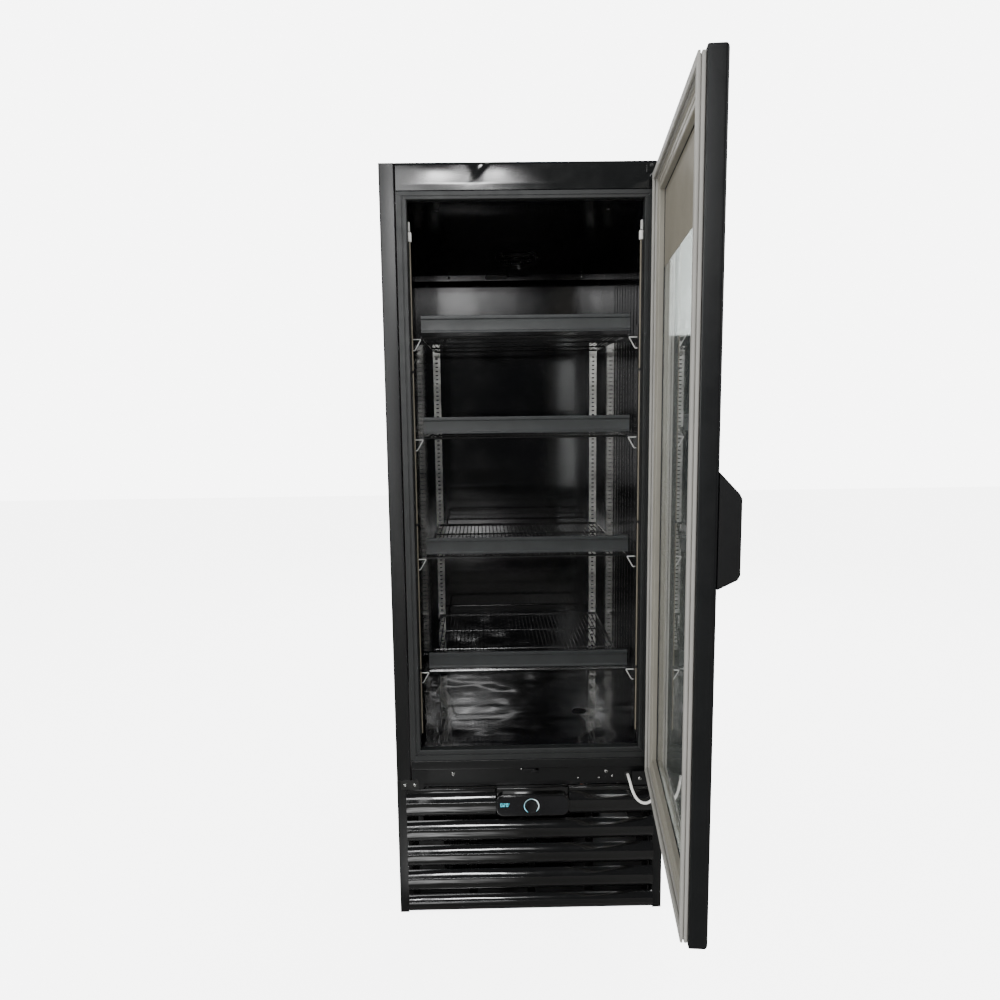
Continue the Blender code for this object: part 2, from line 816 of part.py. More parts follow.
def build_controls(gloss, lens_finish, knob_finish):
    """The control panel in the top louvre: a housing with a hood, its glossy lens and the dial."""
    dial_x, dial_z = DIAL_CENTRE
    face = FRONT - 0.016
    outline = rounded_rectangle((PANEL_X[0], PANEL_Z[0]), (PANEL_X[1], PANEL_Z[1]), 0.010)
    housing = prism("control_housing", outline, 1, face, FRONT + 0.0056, gloss)
    hood_low = (PANEL_X[0] + 0.002, FRONT - 0.004, PANEL_Z[1] - 0.010)
    hood_high = (PANEL_X[1] - 0.002, FRONT + 0.0106, GRILLE_TOP + 0.001)
    join(housing, boxes("control_hood", [(hood_low, hood_high)]))
    shaft_bore = disc_profile(0.0036, -0.030, 0.010)
    cut(housing, turned("shaft_bore", shaft_bore, 1, (dial_x, FRONT, dial_z), segments=16))
    inset = 0.004
    lens_outline = rounded_rectangle(
        (PANEL_X[0] + inset, PANEL_Z[0] + inset), (PANEL_X[1] - inset, PANEL_Z[1] - inset), 0.007
    )
    lens = prism("control_lens", lens_outline, 1, face - 0.0018, face - GAP, lens_finish)
    window = disc_profile(0.0172, -0.040, 0.010)
    cut(lens, turned("lens_window", window, 1, (dial_x, FRONT, dial_z), segments=32))
    knob_front = -0.0095
    profile = [
        (0, 0.008),
        (0.003, 0.008),
        (0.003, -GAP),
        (0.0165, -GAP),
        (0.0165, knob_front + 0.001),
        (0.0155, knob_front),
        (0.0130, knob_front),
        (0.0125, knob_front + 0.0006),
        (0, knob_front + 0.0006),
    ]
    knob = turned("dial_knob", profile, 1, (dial_x, face, dial_z), knob_finish, 32)
    pointer_low = (dial_x - 0.0007, face + knob_front, dial_z + 0.004)
    pointer_high = (dial_x + 0.0007, face + knob_front + 0.002, dial_z + 0.0122)
    join(knob, boxes("dial_pointer", [(pointer_low, pointer_high)]))


# ---------------------------------------------------------------- refrigeration

def fan(name, axis, centre, hub_radius, tip_radius, hub_span, shaft_end, blade_count, finish):
    """A hub with pitched blades and a stub shaft, its origin on the axis of rotation."""
    low, high = hub_span
    shaft = 0.003
    profile = [
        (0, low),
        (hub_radius, low),
        (hub_radius, high),
        (shaft, high),
        (shaft, shaft_end),
        (0, shaft_end),
    ]
    hub = turned(name, profile, axis, centre, finish, 20)
    builder = bmesh.new()
    middle = (low + high) / 2
    pitch = 0.36 * abs(high - low)
    others = [i for i in range(3) if i != axis]
    thick = 0.0016
    for i in range(blade_count):
        angle = 2 * pi * i / blade_count
        sweep = 0.62 * 2 * pi / blade_count
        rows = []
        for radius, share in ((hub_radius * 0.7, 0.5), (tip_radius, 1.0)):
            for side in (-0.5, 0.5):
                for offset in (-thick / 2, thick / 2):
                    place = list(centre)
                    turn = angle + side * sweep * share
                    place[others[0]] += radius * cos(turn)
                    place[others[1]] += radius * sin(turn)
                    place[axis] += middle + 2 * side * pitch * share + offset
                    rows.append(builder.verts.new(place))
        a, b, c, d, e, f, g, h = rows
        for edge in ((a, b, d, c), (e, g, h, f), (a, e, f, b), (c, d, h, g)):
            builder.faces.new(edge)
        for half_face in ((a, c, g), (a, g, e), (b, h, d), (b, f, h)):
            builder.faces.new(half_face)
    join(hub, new_object(name + "_blades", builder))
    return hub


def coil_outline(low, high, count):
    """A coil's section in XY: thin fins that stand out to both sides of a spine."""
    fin = 0.0012
    half_spine = 0.001
    pitch = (high[0] - low[0] - fin) / (count - 1)
    middle = (low[1] + high[1]) / 2
    front = []
    for i in range(count):
        x = low[0] + i * pitch
        front.append((x, middle - half_spine))
        front.append((x, low[1]))
        front.append((x + fin, low[1]))
        front.append((x + fin, middle - half_spine))
    front = front[1:-1]
    back = [(x, 2 * middle - y) for x, y in reversed(front)]
    return front + back


def build_condenser(fins, plastic, motor_finish):
    x, z = CONDENSER_FAN
    coil = coil_outline((-0.220, FRONT + 0.050), (0.120, FRONT + 0.095), 25)
    prism("condenser_coil", coil, 2, 0.030, 0.300, fins)
    plate_y = FRONT + 0.1005
    shroud = boxes(
        "condenser_fan_shroud", [((-0.200, plate_y, 0.035), (0.100, plate_y + 0.003, 0.295))], plastic
    )
    tunnel = disc_profile(0.092, 0.001, 0.034)
    join(shroud, turned("shroud_ring", tunnel, 1, (x, plate_y, z), segments=32))
    bore = disc_profile(0.088, -0.010, 0.050)
    cut(shroud, turned("shroud_bore", bore, 1, (x, plate_y, z), segments=32))
    fan("condenser_fan_blade", 1, (x, FRONT + 0.118, z), 0.020, 0.084, (-0.011, 0.011), 0.032, 5, plastic)
    motor_y = FRONT + 0.1505
    motor = turned("condenser_fan_motor", disc_profile(0.032, 0, 0.052), 1, (x, motor_y, z), motor_finish)
    leg = ((x - 0.014, motor_y + 0.020, 0.0025), (x + 0.014, motor_y + 0.026, z - 0.010))
    foot = ((x - 0.030, motor_y + 0.010, 0.0025), (x + 0.030, motor_y + 0.040, 0.0050))
    join(motor, boxes("motor_leg", [leg]))
    join(motor, boxes("motor_foot", [foot]))


def build_compressor(black):
    x, y = COMPRESSOR_CENTRE
    profile = [
        (0, 0.020),
        (0.050, 0.022),
        (0.078, 0.042),
        (0.084, 0.094),
        (0.088, 0.096),
        (0.088, 0.102),
        (0.084, 0.104),
        (0.083, 0.150),
        (0.070, 0.184),
        (0.040, 0.202),
        (0, 0.207),
    ]
    shell = turned("compressor", profile, 2, (x, y, 0), black, 24)
    plate = ((x - 0.115, y - 0.070, 0.018), (x + 0.115, y + 0.070, 0.023))
    join(shell, boxes("compressor_plate", [plate]))
    feet = bmesh.new()
    for side_x in (-0.098, 0.098):
        for side_y in (-0.054, 0.054):
            add_turned(feet, disc_profile(0.011, 0.0025, 0.020), 2, (x + side_x, y + side_y, 0), 12)
    join(shell, new_object("compressor_feet", feet))
    terminal = ((x - 0.030, y - 0.108, 0.115), (x + 0.030, y - 0.070, 0.170))
    join(shell, boxes("terminal_box", [terminal]))
    inside = [(0, 0.0), (0.040, 0.0), (0.040, 0.048), (0.070, 0.049), (0.070, 0.172), (0, 0.173)]
    cut(shell, turned("compressor_inside", inside, 2, (x, y, 0)))


def build_evaporator(fins, cover_finish, plastic, motor_finish):
    """A fan and a coil under the ceiling, above a cover that slopes down to a lip near the back wall."""
    x, y = EVAPORATOR_FAN
    coil = coil_outline((-0.200, FRONT + 0.528), (0.200, FRONT + 0.592), 29)
    prism("evaporator_coil", coil, 2, 1.664, 1.738, fins)
    half = LINER_HALF - 0.0006
    wall = 0.0012
    ceiling = LINER_CEILING - GAP
    front_y, lip_y = FRONT + 0.062, FRONT + 0.600
    lip_top, lip_bottom = 1.649, 1.632
    fold = sheet_outline(
        [(FRONT + 0.045, ceiling), (front_y, ceiling), (lip_y, lip_top), (lip_y, lip_bottom)], -wall
    )
    cover = prism("evaporator_cover", fold, 0, -half, half, cover_finish)
    slope = (ceiling - lip_top) / (lip_y - front_y)
    hole_height = ceiling - slope * (y - front_y)
    inlet = disc_profile(0.060, -0.025, 0.025)
    cut(cover, turned("fan_inlet", inlet, 2, (x, y, hole_height), segments=32))
    centre = (x, y, EVAPORATOR_FAN_HEIGHT)
    fan("evaporator_fan_blade", 2, centre, 0.018, 0.055, (-0.008, 0.008), 0.012, 5, plastic)
    motor_low = EVAPORATOR_FAN_HEIGHT + 0.0126
    motor_disc = disc_profile(0.029, 0, 0.024)
    motor = turned("evaporator_fan_motor", motor_disc, 2, (x, y, motor_low), motor_finish)
    strap_top = motor_low + 0.006
    strap = ((x - 0.078, y - 0.009, strap_top - 0.003), (x + 0.078, y + 0.009, strap_top))
    foot = hole_height + slope * 0.009 + GAP
    legs = []
    for side in (-1, 1):
        near, far = sorted((side * 0.075, side * 0.078))
        legs.append(((x + near, y - 0.009, foot), (x + far, y + 0.009, strap_top - 0.001)))
    join(motor, boxes("motor_strap", [strap]))
    join(motor, boxes("strap_legs", legs))


def build_condensate_pan(plastic):
    low, high = (-0.300, 0.060, 0.0025), (-0.080, 0.290, 0.050)
    wall = 0.002
    pan = boxes("condensate_pan", [(low, high)], plastic)
    hollow_low = [a + wall for a in low]
    hollow_high = [high[0] - wall, high[1] - wall, high[2] + 0.01]
    cut(pan, boxes("pan_hollow", [(hollow_low, hollow_high)]))


def build_refrigerant_line(copper):
    x, y = COMPRESSOR_CENTRE
    start = (0.1208, FRONT + 0.072, 0.250)
    end = (x - 0.045, y - 0.0805, 0.140)
    route = [
        start,
        (0.140, FRONT + 0.074, 0.250),
        (0.158, FRONT + 0.090, 0.248),
        (0.162, FRONT + 0.130, 0.236),
        (0.160, FRONT + 0.200, 0.224),
        (0.140, FRONT + 0.280, 0.214),
        (0.105, FRONT + 0.350, 0.200),
        (end[0] - 0.002, end[1] - 0.050, 0.172),
        (end[0], end[1] - 0.022, 0.146),
        end,
    ]
    tube("refrigerant_line", smooth_route(route, 2), 0.004, copper)


def build_gland(black):
    """The gland for the mains lead, in the base's rear upstand."""
    profile = [
        (0, 0.0),
        (0.014, 0.0),
        (0.014, 0.005),
        (0.010, 0.006),
        (0.009, 0.020),
        (0.0045, 0.020),
        (0.0045, 0.012),
        (0, 0.012),
    ]
    turned("mains_gland", profile, 1, (-0.220, BACK - 0.030 + GAP, 0.036), black, 20)


# ---------------------------------------------------------------- assembly

def clear_scene():
    for existing in list(bpy.data.objects):
        bpy.data.objects.remove(existing, do_unlink=True)


def hinge_empty():
    """The door's frame: on the hinge axis, turned to the open rest angle once the door is modelled."""
    empty = bpy.data.objects.new("door_hinge_axis", None)
    bpy.context.collection.objects.link(empty)
    empty.location = (HINGE_X, HINGE_Y, 0)
    empty.rotation_euler = (0, 0, DOOR_OPEN)
    return empty


def main():
    clear_scene()
    shell = material("shell_black", (0.012, 0.013, 0.014), 0.35)
    header = material("header_gloss_black", (0.010, 0.010, 0.011), 0.12)
    liner = material("liner_black", (0.006, 0.006, 0.007), 0.10)
    trim = material("trim_grey", (0.060, 0.063, 0.062), 0.55)
    wire = material("wire_black", (0.010, 0.010, 0.010), 0.30)
    zinc = material("zinc_steel", (0.55, 0.55, 0.53), 0.35, 1.0)
    gloss = material("louvre_gloss_black", (0.005, 0.005, 0.005), 0.06)
    door_black = material("door_black", (0.016, 0.017, 0.017), 0.45)
    pvc = material("pvc_beige", (0.42, 0.39, 0.34), 0.50)
    gasket_grey = material("gasket_grey", (0.50, 0.49, 0.45), 0.60)
    glass = material("glass", (0.85, 0.92, 0.90), 0.02, 0.0, 0.2)
    aluminium = material("aluminium", (0.70, 0.70, 0.68), 0.35, 1.0)
    copper = material("copper", (0.72, 0.36, 0.22), 0.30, 1.0)
    black_plastic = material("black_plastic", (0.020, 0.020, 0.021), 0.50)
    led_cream = material("led_cream", (0.80, 0.74, 0.60), 0.40)
    lens_black = material("lens_black", (0.004, 0.004, 0.005), 0.05)
    lead_white = material("lead_white", (0.80, 0.79, 0.76), 0.45)
    compressor_black = material("compressor_black", (0.015, 0.015, 0.015), 0.40)

    build_shell(shell, header)
    build_bottom_rail(shell)
    build_liner(liner)
    build_breaker_frame(trim)
    build_shelves(wire, trim)
    build_pilasters(zinc, wire)
    build_led_strips(led_cream)
    build_base(shell)
    build_grille(gloss)
    build_controls(gloss, lens_black, black_plastic)
    build_condenser(compressor_black, black_plastic, compressor_black)
    build_compressor(compressor_black)
    build_evaporator(aluminium, liner, black_plastic, compressor_black)
    build_condensate_pan(black_plastic)
    build_refrigerant_line(copper)
    build_gland(black_plastic)
    build_hinge_brackets(shell, zinc)
    build_lead(lead_white, black_plastic)

    hinge = hinge_empty()
    build_door_frame(hinge, door_black)
    build_door_trim(hinge, pvc, gasket_grey)
    build_glass(hinge, glass, aluminium)
    build_handle(hinge, black_plastic)


main()
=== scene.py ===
"""Looks for the glass door merchandiser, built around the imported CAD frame.

Metres, +Z up, the cabinet's front faces -Y. Door pieces are built closed, in the frame of the hinge axis
(x to the hinge edge, y into the cabinet), and are then turned by the door's open rest angle.
"""

import json
from math import cos, exp, pi, radians, sin, sqrt

import bmesh
import bpy
from mathutils import Matrix, Vector, noise


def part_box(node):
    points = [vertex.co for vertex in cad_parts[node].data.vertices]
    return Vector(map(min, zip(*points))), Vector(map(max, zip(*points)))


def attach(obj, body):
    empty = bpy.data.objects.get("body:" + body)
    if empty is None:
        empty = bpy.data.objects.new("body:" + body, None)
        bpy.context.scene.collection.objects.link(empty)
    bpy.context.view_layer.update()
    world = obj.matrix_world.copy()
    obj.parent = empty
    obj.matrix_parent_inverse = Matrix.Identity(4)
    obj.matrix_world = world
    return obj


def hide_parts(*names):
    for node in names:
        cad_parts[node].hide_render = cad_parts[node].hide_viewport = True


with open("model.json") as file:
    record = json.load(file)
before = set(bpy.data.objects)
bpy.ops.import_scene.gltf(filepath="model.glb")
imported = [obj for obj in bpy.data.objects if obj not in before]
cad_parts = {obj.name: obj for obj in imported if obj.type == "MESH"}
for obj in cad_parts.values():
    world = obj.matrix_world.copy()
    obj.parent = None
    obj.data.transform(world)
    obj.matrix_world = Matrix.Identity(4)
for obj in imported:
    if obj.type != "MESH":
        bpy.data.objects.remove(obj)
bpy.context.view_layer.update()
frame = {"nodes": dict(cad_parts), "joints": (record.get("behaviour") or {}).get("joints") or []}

NODES = frame["nodes"]
JOINTS = {joint["name"]: joint for joint in frame["joints"]}
HINGE = Vector(JOINTS["door_hinge"]["pos_m"])
DOOR_OPEN = radians(-JOINTS["door_hinge"]["range_deg"][0])
DOOR = Matrix.Translation((HINGE.x, HINGE.y, 0)) @ Matrix.Rotation(DOOR_OPEN, 4, "Z")

SIDE_LOW, SIDE_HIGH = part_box("side_panel_right")
HALF = SIDE_HIGH.x
FRONT = SIDE_LOW.y
BACK = SIDE_HIGH.y
SHEET = 0.001
GAP = 0.0004


# ---------------------------------------------------------------- shape helpers

def piece(name, builder, finish, body="cabinet", replaced=(), place=None, smooth=40):
    """One visible object: its mesh, finish and body, and the CAD nodes that it shows."""
    mesh = bpy.data.meshes.new(name)
    bmesh.ops.recalc_face_normals(builder, faces=builder.faces)
    if place is not None:
        bmesh.ops.transform(builder, matrix=place, verts=builder.verts)
    builder.to_mesh(mesh)
    builder.free()
    mesh.materials.append(finish)
    if smooth:
        mesh.shade_smooth()
        mesh.set_sharp_from_angle(angle=radians(smooth))
    made = bpy.data.objects.new(name, mesh)
    bpy.context.scene.collection.objects.link(made)
    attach(made, body)
    if replaced:
        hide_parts(*replaced)
    return made


def door_piece(name, builder, finish, replaced=(), smooth=40):
    return piece(name, builder, finish, "door", replaced, DOOR, smooth)


def door_box(node):
    """The lowest and highest corners of a door node in the hinge frame."""
    back = DOOR.inverted()
    places = [back @ vertex.co for vertex in NODES[node].data.vertices]
    low = Vector([min(place[i] for place in places) for i in range(3)])
    high = Vector([max(place[i] for place in places) for i in range(3)])
    return low, high


def add_box(builder, low, high, soft=0.0):
    """A box between two corners, with its edges rounded by soft."""
    made = bmesh.ops.create_cube(builder, size=1.0)["verts"]
    size = [b - a for a, b in zip(low, high)]
    centre = [(a + b) / 2 for a, b in zip(low, high)]
    bmesh.ops.scale(builder, verts=made, vec=size)
    bmesh.ops.translate(builder, verts=made, vec=centre)
    if soft:
        edges = list(dict.fromkeys(edge for vertex in made for edge in vertex.link_edges))
        bmesh.ops.bevel(builder, geom=edges, offset=soft, segments=3, profile=0.5, affect="EDGES")


def add_prism(builder, outline, axis, start, end):
    """An outline of two coordinates, extruded along the third one."""
    others = [i for i in range(3) if i != axis]

    def point(pair, along):
        place = [0.0, 0.0, 0.0]
        place[others[0]], place[others[1]] = pair
        place[axis] = along
        return builder.verts.new(place)

    near = [point(pair, start) for pair in outline]
    far = [point(pair, end) for pair in outline]
    builder.faces.new(near)
    builder.faces.new(far)
    for i in range(len(outline)):
        j = (i + 1) % len(outline)
        builder.faces.new((near[i], near[j], far[j], far[i]))


def prism(outline, axis, start, end):
    builder = bmesh.new()
    add_prism(builder, outline, axis, start, end)
    return builder


def filleted(points, radius, steps=5):
    """A path with its corners rounded by arcs."""
    path = [Vector(point) for point in points]
    made = []
    count = len(path)
    for i, corner in enumerate(path):
        if i in (0, count - 1):
            made.append(corner)
            continue
        before = path[i - 1] - corner
        after = path[i + 1] - corner
        reach = min(radius, before.length * 0.45, after.length * 0.45)
        start = corner + before.normalized() * reach
        end = corner + after.normalized() * reach
        for step in range(steps + 1):
            t = step / steps
            made.append(start * (1 - t) ** 2 + corner * 2 * t * (1 - t) + end * t**2)
    return made


def thickened(path, thickness):
    """The closed outline of a sheet: a path, and the same path set off to its left."""
    normals = []
    for a, b in zip(path, path[1:]):
        along = (b - a).normalized()
        normals.append(Vector((-along.y, along.x)))
    offset = []
    for i, place in enumerate(path):
        before = normals[max(i - 1, 0)]
        after = normals[min(i, len(normals) - 1)]
        mitre = (before + after).normalized()
        offset.append(place + mitre * (thickness / mitre.dot(after)))
    return list(path) + list(reversed(offset))


def add_lathe(builder, profile, axis, centre, segments=24):
    """Turns (radius, along) points about an axis; a first or last radius of zero closes that end."""
    others = [i for i in range(3) if i != axis]
    rings = []
    for radius, along in profile:
        ring = []
        for i in range(segments if radius > 0 else 1):
            angle = 2 * pi * i / segments
            place = list(centre)
            place[others[0]] += radius * cos(angle)
            place[others[1]] += radius * sin(angle)
            place[axis] += along
            ring.append(builder.verts.new(place))
        rings.append(ring)
    for lower, upper in zip(rings, rings[1:]):
        for i in range(segments):
            j = (i + 1) % segments
            if len(lower) == 1:
                builder.faces.new((lower[0], upper[i], upper[j]))
            elif len(upper) == 1:
                builder.faces.new((upper[0], lower[j], lower[i]))
            else:
                builder.faces.new((lower[i], upper[i], upper[j], lower[j]))


def add_tube(builder, path, radius, sides=8, closed=False):
    """A round wire or pipe along a path, with flat ends."""
    points = [Vector(point) for point in path]
    count = len(points)
    side = None
    rings = []
    for i, point in enumerate(points):
        if closed:
            along = points[(i + 1) % count] - points[i - 1]
        else:
            along = points[min(i + 1, count - 1)] - points[max(i - 1, 0)]
        along.normalize()
        if side is None:
            side = along.orthogonal().normalized()
        side = (side - along * side.dot(along)).normalized()
        across = along.cross(side)
        ring = []
        for k in range(sides):
            angle = 2 * pi * k / sides
            ring.append(builder.verts.new(point + (side * cos(angle) + across * sin(angle)) * radius))
        rings.append(ring)
    pairs = list(zip(rings, rings[1:]))
    if closed:
        pairs.append((rings[-1], rings[0]))
    else:
        builder.faces.new(rings[0])
        builder.faces.new(rings[-1])
    for lower, upper in pairs:
        for k in range(sides):
            j = (k + 1) % sides
            builder.faces.new((lower[k], upper[k], upper[j], lower[j]))


def bent(points, radius):
    """A wire's path through points in space, with rounded bends."""
    return filleted(points, radius, 4)


def add_mitred_bar(builder, outer, inner, profile, corners, inset):
    """One side of a mitred frame in the XZ plane, short of each mitre by the inset."""
    loops = []
    for ix, iz in corners:
        loop = []
        for share, y in profile:
            x = outer[ix] + share * (inner[ix] - outer[ix])
            z = outer[iz] + share * (inner[iz] - outer[iz])
            loop.append(Vector((x, y, z)))
        loops.append(loop)
    along = (loops[1][0] - loops[0][0]).normalized()
    near = [builder.verts.new(point + along * inset) for point in loops[0]]
    far = [builder.verts.new(point - along * inset) for point in loops[1]]
    builder.faces.new(near)
    builder.faces.new(far)
    for i in range(len(profile)):
        j = (i + 1) % len(profile)
        builder.faces.new((near[i], near[j], far[j], far[i]))


FRAME_SIDES = {
    "left": ((0, 1), (0, 3)),
    "right": ((2, 1), (2, 3)),
    "bottom": ((0, 1), (2, 1)),
    "top": ((0, 3), (2, 3)),
}


def add_ring(builder, outer, inner, profile):
    """A continuous mitred frame in the XZ plane."""
    loops = []
    for ix, iz in ((0, 1), (2, 1), (2, 3), (0, 3)):
        loop = []
        for share, y in profile:
            x = outer[ix] + share * (inner[ix] - outer[ix])
            z = outer[iz] + share * (inner[iz] - outer[iz])
            loop.append(builder.verts.new((x, y, z)))
        loops.append(loop)
    for near, far in zip(loops, loops[1:] + loops[:1]):
        for i in range(len(profile)):
            j = (i + 1) % len(profile)
            builder.faces.new((near[i], near[j], far[j], far[i]))


def add_sheet_grid(builder, across, along, place, thickness):
    """A closed sheet over a grid. place(u, v, depth) gives a point, with depth 0 at the shown face."""
    layers = []
    for depth in (0.0, thickness):
        layers.append([[builder.verts.new(place(u, v, depth)) for u in across] for v in along])
    rows = len(along)
    columns = len(across)
    for layer in layers:
        for i in range(rows - 1):
            for j in range(columns - 1):
                corner = (layer[i][j], layer[i][j + 1], layer[i + 1][j + 1], layer[i + 1][j])
                builder.faces.new(corner)
    face, rear = layers
    rim = [(0, j) for j in range(columns)]
    rim += [(i, columns - 1) for i in range(1, rows)]
    rim += [(rows - 1, j) for j in range(columns - 2, -1, -1)]
    rim += [(i, 0) for i in range(rows - 2, 0, -1)]
    for (a, b), (c, d) in zip(rim, rim[1:] + rim[:1]):
        builder.faces.new((face[a][b], face[c][d], rear[c][d], rear[a][b]))


def spread(low, high, count):
    return [low + (high - low) * i / (count - 1) for i in range(count)]


def rounded_rectangle(low, high, radius, steps=8):
    corners = [
        (high[0] - radius, high[1] - radius, 0.0),
        (low[0] + radius, high[1] - radius, 0.5 * pi),
        (low[0] + radius, low[1] + radius, pi),
        (high[0] - radius, low[1] + radius, 1.5 * pi),
    ]
    outline = []
    for x, y, start in corners:
        for i in range(steps + 1):
            angle = start + 0.5 * pi * i / steps
            outline.append((x + radius * cos(angle), y + radius * sin(angle)))
    return outline


def dress(node, key, width=0.0, segments=3):
    """Gives a CAD node its finish, and rounds its edges with a modifier, so its mesh stays as it is."""
    materials = NODES[node].data.materials
    materials.clear()
    materials.append(F[key])
    if width:
        bevel = NODES[node].modifiers.new("Soft edges", "BEVEL")
        bevel.width = width
        bevel.segments = segments
        bevel.limit_method = "ANGLE"
        bevel.angle_limit = radians(40)


def circle(x, z, radius, count):
    """Points round a circle in the XZ plane."""
    angles = [2 * pi * i / count for i in range(count)]
    return [(x + radius * cos(angle), z + radius * sin(angle)) for angle in angles]


def add_node(tree, kind, links=(), **values):
    """A shader node: values are set on its sockets by name, and links join (socket, source) pairs."""
    made = tree.nodes.new("ShaderNode" + kind)
    for name, value in values.items():
        made.inputs[name.replace("_", " ")].default_value = value
    for socket, source in links:
        tree.links.new(source, made.inputs[socket])
    return made


def multiply(tree, a, b):
    """The product of a socket and another socket or a number."""
    made = add_node(tree, "Math", [(0, a)])
    made.operation = "MULTIPLY"
    if isinstance(b, float):
        made.inputs[1].default_value = b
    else:
        tree.links.new(b, made.inputs[1])
    return made.outputs["Value"]


# ---------------------------------------------------------------- camera, floor and light

def make_camera():
    place = Vector((-0.107, -2.226, 1.269))
    yaw = radians(0.718)
    pitch = radians(7.757)
    roll = radians(-0.756)
    level = Vector((sin(yaw), cos(yaw), 0))
    forward = level * cos(pitch) - Vector((0, 0, sin(pitch)))
    right = Vector((cos(yaw), -sin(yaw), 0))
    up = Vector((0, 0, cos(pitch))) + level * sin(pitch)
    turned_right = right * cos(roll) + up * sin(roll)
    turned_up = up * cos(roll) - right * sin(roll)
    data = bpy.data.cameras.new("camera")
    data.sensor_width = 36.0
    data.lens = 28.8
    data.shift_x = 0.0073
    data.shift_y = 0.0121
    camera = bpy.data.objects.new("camera", data)
    bpy.context.scene.collection.objects.link(camera)
    axes = Matrix((turned_right, turned_up, -forward)).transposed()
    camera.matrix_world = Matrix.Translation(place) @ axes.to_4x4()
    bpy.context.scene.camera = camera


def make_floor():
    builder = bmesh.new()
    bmesh.ops.create_grid(builder, x_segments=1, y_segments=1, size=9.0)
    mesh = bpy.data.meshes.new("floor")
    builder.to_mesh(mesh)
    builder.free()
    mesh.materials.append(floor_finish())
    floor = bpy.data.objects.new("floor", mesh)
    bpy.context.scene.collection.objects.link(floor)
    floor.location.z = -0.0005


def add_area(name, place, target, size, power):
    data = bpy.data.lights.new(name, "AREA")
    data.shape = "RECTANGLE"
    data.size, data.size_y = size
    data.energy = power
    lamp = bpy.data.objects.new(name, data)
    bpy.context.scene.collection.objects.link(lamp)
    lamp.location = place
    lamp.rotation_euler = (Vector(target) - Vector(place)).to_track_quat("-Z", "Y").to_euler()
    lamp.visible_camera = False


def make_light():
    """Soft studio light: a pale backdrop for the camera, a dim room for reflections, and large soft boxes."""
    world = bpy.data.worlds.new("studio")
    bpy.context.scene.world = world
    world.use_nodes = True
    tree = world.node_tree
    room = tree.nodes["Background"]
    room.inputs["Color"].default_value = (0.80, 0.86, 0.92, 1.0)
    room.inputs["Strength"].default_value = 0.10
    white = (1.0, 1.0, 1.0, 1.0)
    sky = add_node(tree, "Background", Color=white, Strength=0.9)
    backdrop = add_node(tree, "Background", Color=white, Strength=7.0)
    path = add_node(tree, "LightPath")
    surface = room.outputs["Background"]
    for ray, shown in (("Is Diffuse Ray", sky), ("Is Camera Ray", backdrop)):
        links = [("Fac", path.outputs[ray]), (1, surface), (2, shown.outputs["Background"])]
        surface = add_node(tree, "MixShader", links).outputs["Shader"]
    tree.links.new(surface, tree.nodes["World Output"].inputs["Surface"])
    wall = -4.6
    for name, x, y, z, size, power in (
        ("window", -0.925, wall, 2.56, (1.55, 1.00), 26),
        ("window_pane", 0.08, wall, 2.56, (0.30, 1.00), 2.2),
        ("window_core", -0.25, wall + 0.05, 2.60, (0.48, 0.38), 33),
        ("low_panel", -1.12, wall, 1.25, (0.95, 1.55), 20),
        ("threshold", -0.50, wall, 0.09, (1.20, 0.06), 4),
    ):
        add_area(name, (x, y, z), (x, 0.0, z), size, power)
    add_area("side_left", (-3.2, -1.2, 1.7), (0.0, 0.0, 0.9), (1.0, 2.2), 45)
    add_area("side_right", (3.2, -1.8, 2.4), (0.0, -0.4, 1.3), (1.2, 2.2), 30)
    add_area("overhead_left", (-0.9, -1.2, 3.3), (0.0, -0.3, 0.4), (1.4, 1.0), 20)
    add_area("overhead_right", (1.3, -1.0, 3.2), (0.2, -0.3, 0.4), (0.9, 0.8), 16)
    add_area("rear", (0.6, 3.0, 2.4), (0.0, 0.3, 0.8), (2.4, 1.6), 70)


# ---------------------------------------------------------------- finishes

